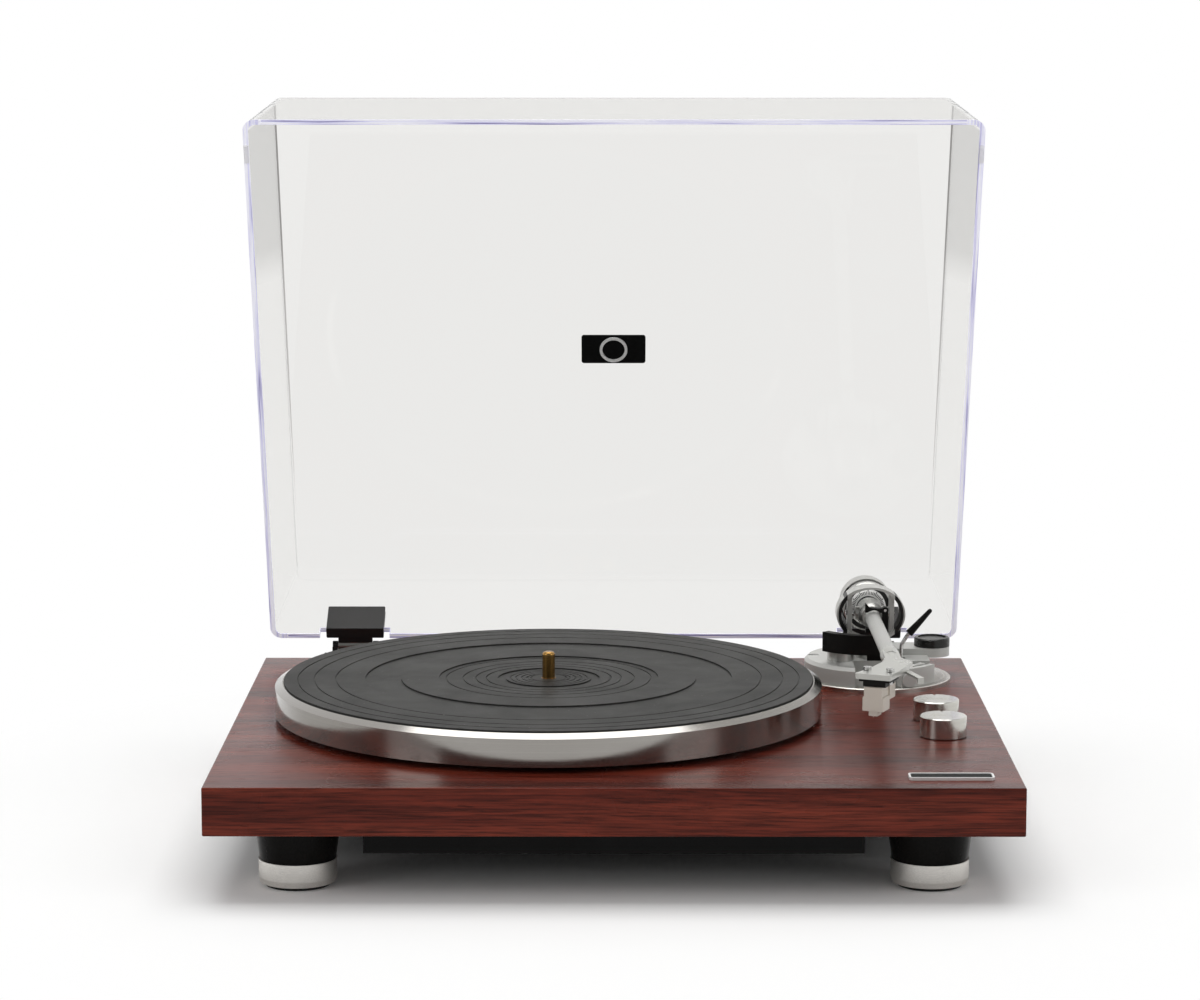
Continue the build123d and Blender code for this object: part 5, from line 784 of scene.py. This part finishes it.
class Finishes:
    """Every finish of the turntable, built once."""

    def __init__(self) -> None:
        """Build the materials."""
        effects = Effects()
        platter = middle("platter")
        knob_front = middle("speed_knob")
        knob_rear = middle("power_knob")
        flange = middle("arm_base_flange")
        arm = middle("pivot_screws")
        pillar = middle("arm_pillar")
        silver = (0.70, 0.70, 0.68)
        turned = Facing.TURNED
        black = (0.006, 0.0055, 0.005)
        recipes = {
            "veneer": Veneer(),
            "acrylic": ClearAcrylic(),
            "knurl": KnurledPaint(),
            "platter": Metal("turned_platter", (0.33, 0.315, 0.295), 0.10, turned, platter, 3000.0, 0.10,
                             0.35),
            "spindle": Metal("polished_brass", (0.40, 0.23, 0.07), 0.20, turned, platter, 4000.0, 0.08),
            "bearing": Metal("turned_brass", (0.62, 0.46, 0.24), 0.30, turned, platter, 3000.0),
            "pulley": Metal("turned_pulley", silver, 0.25, turned, middle("motor_pulley"), 4000.0),
            "front_knob": Metal("spun_front_knob", (0.66, 0.65, 0.61), 0.20, turned, knob_front, 5000.0,
                                0.16, 0.55, smudge=0.0),
            "rear_knob": Metal("spun_rear_knob", (0.66, 0.65, 0.61), 0.20, turned, knob_rear, 5000.0,
                               0.16, 0.55, smudge=0.0),
            "flange": Metal("spun_flange", (0.62, 0.60, 0.56), 0.26, turned, flange, 3500.0, 0.14, 0.5),
            "pillar": Metal("turned_pillar", (0.58, 0.58, 0.56), 0.28, turned, pillar, 4000.0),
            "cylinder": Metal("turned_cylinder", (0.58, 0.58, 0.56), 0.28, turned,
                              middle("lift_cylinder"), 4000.0),
            "hub": Metal("turned_hub", (0.56, 0.56, 0.54), 0.26, Facing.ALONG_Y, arm, 4000.0),
            # The counterweight's front face and channel get near-black painted shade.
            "weight": FacedMetal("satin_weight", (0.50, 0.50, 0.48), 0.30, Facing.ALONG_Y, arm, 3000.0, 0.10,
                                 metallic=0.9, face_y=arm.y + 22.7 * MM, groove_start=arm.y + 30.1 * MM,
                                 groove_end=arm.y + 32.2 * MM),
            "foot_ring": Metal("satin_foot_ring", (0.76, 0.74, 0.70), 0.36, Facing.ALONG_X),
            "steel": Metal("bright_steel", (0.62, 0.62, 0.61), 0.22, Facing.ALONG_X, density=4000.0),
            "gold": Metal("gold_plate", (0.80, 0.60, 0.25), 0.25, Facing.ALONG_Y, middle("phono_sockets"),
                          4000.0),
            "silver_paint": Moulding("silver_paint", (0.46, 0.46, 0.44), 0.40, 6000.0, 0.05, lift=0.03),
            "bright_paint": Moulding("bright_paint", (0.66, 0.66, 0.64), 0.36, 6000.0, 0.05, lift=0.03,
                                     metallic=0.2),
            "bright_rim": Metal("bright_rim", (0.80, 0.80, 0.79), 0.25, Facing.ALONG_X, density=4000.0,
                                metallic=0.3),
            # The gimbal ring's inner wall gets black painted shade.
            "shaded_ring": InnerShadeRing("shaded_ring", (0.46, 0.46, 0.44), 0.34, 6000.0, 0.05, lift=0.03,
                                    metallic=0.35, centre=arm),
            "head_metal": Moulding("cast_headshell", (0.52, 0.52, 0.49), 0.28, 6000.0, 0.05, lift=0.03,
                                   metallic=0.7),
            "mat": Moulding("mat_rubber", (0.026, 0.0255, 0.0245), 0.52, 4000.0, 0.25, lint=0.04, lift=0.12,
                            specular=0.15),
            "belt": Moulding("belt_rubber", (0.02, 0.02, 0.02), 0.6),
            "pad": Moulding("pad_rubber", (0.020, 0.020, 0.020), 0.7, 1200.0, 0.4, lint=0.05, specular=0.2),
            "gloss_black": Moulding("gloss_black", black, 0.20, 900.0, 0.04, specular=0.06),
            "satin_black": Moulding("satin_black", black, 0.40, 2200.0, 0.16, specular=0.12),
            "cap_black": Moulding("cap_black", (0.008, 0.008, 0.007), 0.30, 2200.0, 0.12, specular=0.40),
            "tray_black": Moulding("tray_black", (0.008, 0.008, 0.008), 0.55, 1500.0, 0.35, specular=0.1),
            "hinge_black": Moulding("hinge_black", (0.012, 0.011, 0.011), 0.36, 1800.0, 0.10,
                                    specular=0.25),
            "hinge_clip": HingePlastic(),
            "badge_black": Moulding("badge_black", (0.006, 0.006, 0.006), 0.30, 900.0, 0.03, specular=0.02),
            "cream": Moulding("cream_plastic", (0.64, 0.585, 0.515), 0.42, 4000.0, 0.06, lift=0.03,
                              specular=0.25),
            "cartridge_black": Moulding("cartridge_black", black, 0.4, specular=0.15),
            "milky": Moulding("milky_rubber", (0.93, 0.925, 0.90), 0.5, 1200.0, 0.10, lift=0.03, clear=0.6),
            "board": Moulding("board_green", (0.01, 0.07, 0.03), 0.35, 900.0, 0.10),
            "motor": Moulding("motor_zinc", (0.30, 0.30, 0.30), 0.38, 1500.0, 0.12, metallic=0.6),
            "component": Moulding("component_black", (0.02, 0.02, 0.022), 0.45),
            "socket_white": Moulding("socket_white", (0.70, 0.70, 0.68), 0.4, 1200.0, 0.1, lift=0.05),
            "socket_red": Moulding("socket_red", (0.50, 0.015, 0.012), 0.4, 1200.0, 0.1, lift=0.05),
        }
        self.ready = {key: recipe.build(effects) for key, recipe in recipes.items()}

    def dress(self, obj: bpy.types.Object, key: str) -> None:
        """Give an object one finish in all its slots.

        Args:
            obj: The object.
            key: Name of the finish.
        """
        obj.data.materials.clear()
        obj.data.materials.append(self.ready[key])


def linked_mesh(name: str, form: bmesh.types.BMesh) -> bpy.types.Object:
    """Turn a bmesh, which is freed, into an object of the scene."""
    mesh = bpy.data.meshes.new(name)
    form.to_mesh(mesh)
    form.free()
    obj = bpy.data.objects.new(name, mesh)
    bpy.context.scene.collection.objects.link(obj)
    return obj


def mesh_piece(name: str, form: bmesh.types.BMesh, body: str) -> bpy.types.Object:
    """Turn a bmesh into a piece that rides on a body.

    Args:
        name: Name of the piece.
        form: The finished bmesh, which is freed.
        body: CAD body that carries it.

    Returns:
        The new object.
    """
    bmesh.ops.recalc_face_normals(form, faces=form.faces)
    obj = linked_mesh(name, form)
    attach(obj, body)
    LOG.info("made %s on %s", name, body)
    return obj


def ring_of_faces(form: bmesh.types.BMesh, rings: list[list[Vector]]) -> None:
    """Join rows of points into faces, the last row with the first.

    Args:
        form: The bmesh to fill.
        rings: Rows with the same number of points.
    """
    rows = [[form.verts.new(point) for point in ring] for ring in rings]
    for low, high in zip(rows, rows[1:] + rows[:1]):
        for index in range(len(low)):
            after = (index + 1) % len(low)
            form.faces.new((low[index], low[after], high[after], high[index]))


@dataclass
class SubAssembly:
    """A group of CAD pieces that are dressed together, with the detail pieces they carry."""

    finishes: Finishes
    wear: ClassVar[dict[str, str]] = {}

    def details(self) -> None:
        """Build the detail pieces, if there are any."""

    def build(self) -> None:
        """Dress the nodes and build the details."""
        for name, key in self.wear.items():
            self.finishes.dress(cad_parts[name], key)
            LOG.info("dressed %s in %s", name, key)
        self.details()


class PlinthUnit(SubAssembly):
    """Veneered plinth with its tray, badge and fasteners."""

    wear = {
        "plinth": "veneer", "bottom_tray": "tray_black", "pan_screws": "steel",
        "badge_rim": "bright_rim", "badge_plate": "badge_black", "circuit_board": "board",
        "board_parts": "component",
    }


class FootSet(SubAssembly):
    """Four feet, each of a cone, a ring and a pad."""

    wear = {
        "foot_cones": "gloss_black", "foot_rings": "foot_ring", "foot_pads": "pad",
        "foot_screws": "steel",
    }


class PlatterUnit(SubAssembly):
    """Platter, mat, spindle and belt drive."""

    wear = {
        "platter": "platter", "slip_mat": "mat", "spindle": "spindle", "bearing_housing": "bearing",
        "drive_belt": "belt", "motor_pulley": "pulley", "motor_body": "motor",
    }


class Controls(SubAssembly):
    """Two knobs with the switches under them."""

    wear = {
        "speed_knob": "front_knob", "power_knob": "rear_knob", "switch_bodies": "component",
    }


@dataclass
class RearPanelUnit(SubAssembly):
    """Socket panel with coloured insulators in the phono sockets."""

    inner: float = 1.75 * MM
    outer: float = 3.1 * MM
    proud: float = 0.12 * MM
    centres: tuple[float, float] = (-38.0 * MM, -22.0 * MM)
    segments: int = 32

    wear = {
        "rear_panel": "satin_black", "phono_sockets": "gold", "ground_terminal": "gold",
        "power_socket": "satin_black", "slide_switch_button": "satin_black",
    }

    def details(self) -> None:
        """Build one insulator ring in each phono socket."""
        low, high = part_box("phono_sockets")
        height = (low.z + high.z) / 2
        for label, x, key in (("left", self.centres[0], "socket_white"),
                              ("right", self.centres[1], "socket_red")):
            form = bmesh.new()
            rows = []
            for radius, y in ((self.inner, high.y - self.proud), (self.inner, high.y + self.proud / 2),
                              (self.outer, high.y + self.proud / 2), (self.outer, high.y - self.proud)):
                turns = [2 * math.pi * step / self.segments for step in range(self.segments)]
                rows.append([Vector((x + radius * math.cos(t), y, height + radius * math.sin(t)))
                             for t in turns])
            ring_of_faces(form, rows)
            piece = mesh_piece(f"socket_insulator_{label}", form, "base")
            self.finishes.dress(piece, key)


class ArmBaseUnit(SubAssembly):
    """Arm base with its lifter, rest, lever and anti-skate dial."""

    wear = {
        "arm_base_flange": "flange", "arm_base_housing": "silver_paint", "arm_base_screws": "steel",
        "arm_pillar": "pillar", "lift_cylinder": "cylinder", "lifter_bar": "satin_black",
        "arm_rest_post": "satin_black", "lever_pins": "steel", "arm_latch": "satin_black",
        "anti_skate_dial": "cap_black", "cue_lever_rod": "steel", "cue_lever_grip": "satin_black",
    }


class TonearmUnit(SubAssembly):
    """Gimbal, tube, headshell and cartridge."""

    wear = {
        "gimbal_ring": "shaded_ring", "pivot_screws": "steel", "pivot_hub": "hub", "arm_tube": "knurl",
        "rear_stub": "steel", "headshell": "head_metal", "finger_lift": "head_metal",
        "headshell_screws": "steel", "cartridge_mount": "cartridge_black", "cartridge_body": "cream",
        "stylus_block": "cream",
    }


@dataclass
class BalanceUnit(SubAssembly):
    """Counterweight and force dial, with the dial's graduation marks."""

    count: int = 60
    inner: float = 7.95 * MM
    outer: float = 10.35 * MM
    short: float = 0.7 * MM
    width: float = 0.52 * MM
    long_every: int = 5
    lift: float = 0.05 * MM
    face_radius: float = 7.8 * MM
    rim_radius: float = 10.6 * MM
    bevel: float = 2.6 * MM
    slope: float = 1.17
    front: float = 17.6 * MM
    thickness: float = 0.03 * MM

    wear = {
        "weight_carrier": "satin_black", "counterweight": "weight", "tracking_dial": "bright_paint",
    }

    def details(self) -> None:
        """Build the ring of black marks on the dial's front bevel."""
        pivot = middle("pivot_screws").vector()
        tilt = Matrix.Rotation(math.radians(-self.slope), 4, "X")
        steep = self.bevel / (self.rim_radius - self.face_radius)
        form = bmesh.new()
        for index in range(self.count):
            angle = 2 * math.pi * index / self.count
            end = self.outer if index % self.long_every == 0 else self.outer - self.short
            spots = []
            for radius, side in ((self.inner, -1), (end, -1), (end, 1), (self.inner, 1)):
                turn = angle + side * self.width / 2 / radius
                back = self.front + (radius - self.face_radius) * steep - self.lift
                point = Vector((radius * math.sin(turn), back, radius * math.cos(turn)))
                spots.append(form.verts.new(pivot + tilt @ point))
            form.faces.new(spots)
        piece = mesh_piece("force_dial_marks", form, "force_dial")
        solid = piece.modifiers.new("thickness", "SOLIDIFY")
        solid.thickness = self.thickness
        self.finishes.dress(piece, "satin_black")


class CoverUnit(SubAssembly):
    """Dust cover with its emblem, bumpers and hinges."""

    wear = {
        "hinge_brackets": "hinge_black", "hinge_pins": "steel", "dust_cover": "acrylic",
        "lid_bumpers": "milky", "lid_emblem_plate": "badge_black", "lid_emblem_ring": "bright_rim",
        "hinge_clips": "hinge_clip",
    }


@dataclass(frozen=True)
class Lamp:
    """A rectangular soft lamp that faces the object."""

    name: str
    place: Place
    size: tuple[float, float]
    watts: float


@dataclass
class Studio:
    """Pale floor, soft lamps and the camera at the photo's angle."""

    lamps: ClassVar[tuple[Lamp, ...]] = (Lamp("top_softbox", Place(0.0, 0.15, 1.9), (1.7, 1.3), 22.0),
                                         Lamp("left_fill", Place(-1.7, -1.2, 1.0), (0.9, 1.2), 9.0),
                                         Lamp("right_fill", Place(1.7, -1.0, 0.9), (0.9, 1.2), 7.0))
    aim: ClassVar[Place] = Place(0.0, 0.0, 0.10)
    room_dim: float = 0.22
    room_from: float = -0.30
    room_to: float = 0.40
    soft_light: float = 0.42
    sensor: float = 36.0
    clip: float = 200.0
    paper: Colour = (0.95, 0.95, 0.945)
    boards: Colour = (0.80, 0.795, 0.78)
    floor_half: float = 60.0
    camera_place: Place = Place(-0.00199, -2.017878, 0.47655)
    camera_down: float = 8.382
    camera_turn: float = 0.1604
    lens: float = 109.52
    white_from: float = 0.27
    white_to: float = 0.44
    front_from: float = -0.42
    front_to: float = -0.60
    side_half: float = 0.375
    side_spread: float = 0.165
    side_fade: float = 0.09

    def build(self) -> None:
        """Build the floor, lamps, world and camera."""
        self._floor()
        self._lamps()
        self._world()
        self._camera()

    def _floor(self) -> None:
        """Build the floor: pale paper that turns plain white, with pale boards round it."""
        form = bmesh.new()
        spots = [(-1, -1), (1, -1), (1, 1), (-1, 1)]
        form.faces.new([form.verts.new((x * self.floor_half, y * self.floor_half, 0.0)) for x, y in spots])
        floor = linked_mesh("studio_floor", form)
        material = bpy.data.materials.new("studio_paper")
        bench = empty_tree(material)
        place = bench.object_place()
        far = bench.spread(bench.length(place), self.white_from, self.white_to)
        paper = bench.add("ShaderNodeBsdfDiffuse", {"Color": self.paper})
        white = bench.add("ShaderNodeEmission", {"Color": WHITE, "Strength": 1.0})
        mixed = bench.add("ShaderNodeMixShader", {0: far, 1: paper.outputs[0], 2: white.outputs[0]})
        parts = bench.axes(place)
        front = bench.spread(parts[1], self.front_from, self.front_to)
        wedge = bench.math("SUBTRACT", bench.math("ABSOLUTE", parts[0]),
                           bench.product(parts[1], self.side_spread))
        side = bench.spread(wedge, self.side_half, self.side_half + self.side_fade)
        edge = bench.math("MAXIMUM", front, side)
        boards = bench.add("ShaderNodeBsdfDiffuse", {"Color": self.boards})
        whole = bench.add("ShaderNodeMixShader", {0: edge, 1: mixed.outputs[0], 2: boards.outputs[0]})
        bench.add("ShaderNodeOutputMaterial", {"Surface": whole.outputs[0]})
        floor.data.materials.append(material)
        LOG.info("laid the floor")

    def _lamps(self) -> None:
        """Hang the top light and the two side fills."""
        for lamp in self.lamps:
            data = bpy.data.lights.new(lamp.name, "AREA")
            data.shape = "RECTANGLE"
            data.size, data.size_y = lamp.size
            data.energy = lamp.watts
            hung = bpy.data.objects.new(lamp.name, data)
            hung.location = lamp.place.vector()
            way = self.aim.vector() - lamp.place.vector()
            hung.rotation_euler = way.to_track_quat("-Z", "Y").to_euler()
            bpy.context.scene.collection.objects.link(hung)
        LOG.info("hung the lamps")

    def _world(self) -> None:
        """Build the world: soft light, white behind the object, and a dim room behind the camera."""
        world = bpy.data.worlds.new("studio_world")
        bpy.context.scene.world = world
        bench = empty_tree(world)
        path = bench.add("ShaderNodeLightPath")
        way = bench.add("ShaderNodeTexCoord").outputs["Generated"]
        room = bench.spread(bench.axes(way)[1], self.room_from, self.room_to, self.room_dim, 1.0)
        clear = bench.math("MAXIMUM", path.outputs["Is Camera Ray"], path.outputs["Is Transmission Ray"])
        mirrored = bench.product(path.outputs["Is Glossy Ray"], room)
        seen = bench.math("MAXIMUM", clear, path.outputs["Is Glossy Ray"])
        soft = bench.product(bench.math("SUBTRACT", 1.0, seen), self.soft_light)
        strength = bench.math("ADD", soft, bench.math("MAXIMUM", clear, mirrored))
        light = bench.add("ShaderNodeBackground", {"Color": WHITE, "Strength": strength})
        bench.add("ShaderNodeOutputWorld", {"Surface": light.outputs[0]})
        LOG.info("set the world")

    def _camera(self) -> None:
        """Set the camera where the photo was taken from."""
        data = bpy.data.cameras.new("photo_camera")
        data.lens = self.lens
        data.sensor_width = self.sensor
        data.clip_end = self.clip
        camera = bpy.data.objects.new("photo_camera", data)
        camera.location = self.camera_place.vector()
        camera.rotation_euler = (math.radians(90.0 - self.camera_down), 0.0, math.radians(self.camera_turn))
        bpy.context.scene.collection.objects.link(camera)
        bpy.context.scene.camera = camera
        LOG.info("set the camera")


def main() -> None:
    """Build the scene in order."""
    logging.basicConfig(level=logging.INFO, format="%(name)s: %(message)s")
    bpy.context.scene.view_settings.view_transform = "Standard"
    finishes = Finishes()
    for unit in (PlinthUnit, FootSet, PlatterUnit, Controls, RearPanelUnit, ArmBaseUnit, TonearmUnit,
                 BalanceUnit, CoverUnit):
        unit(finishes).build()
    Studio().build()
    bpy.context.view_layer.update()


if __name__ == "__main__":
    main()
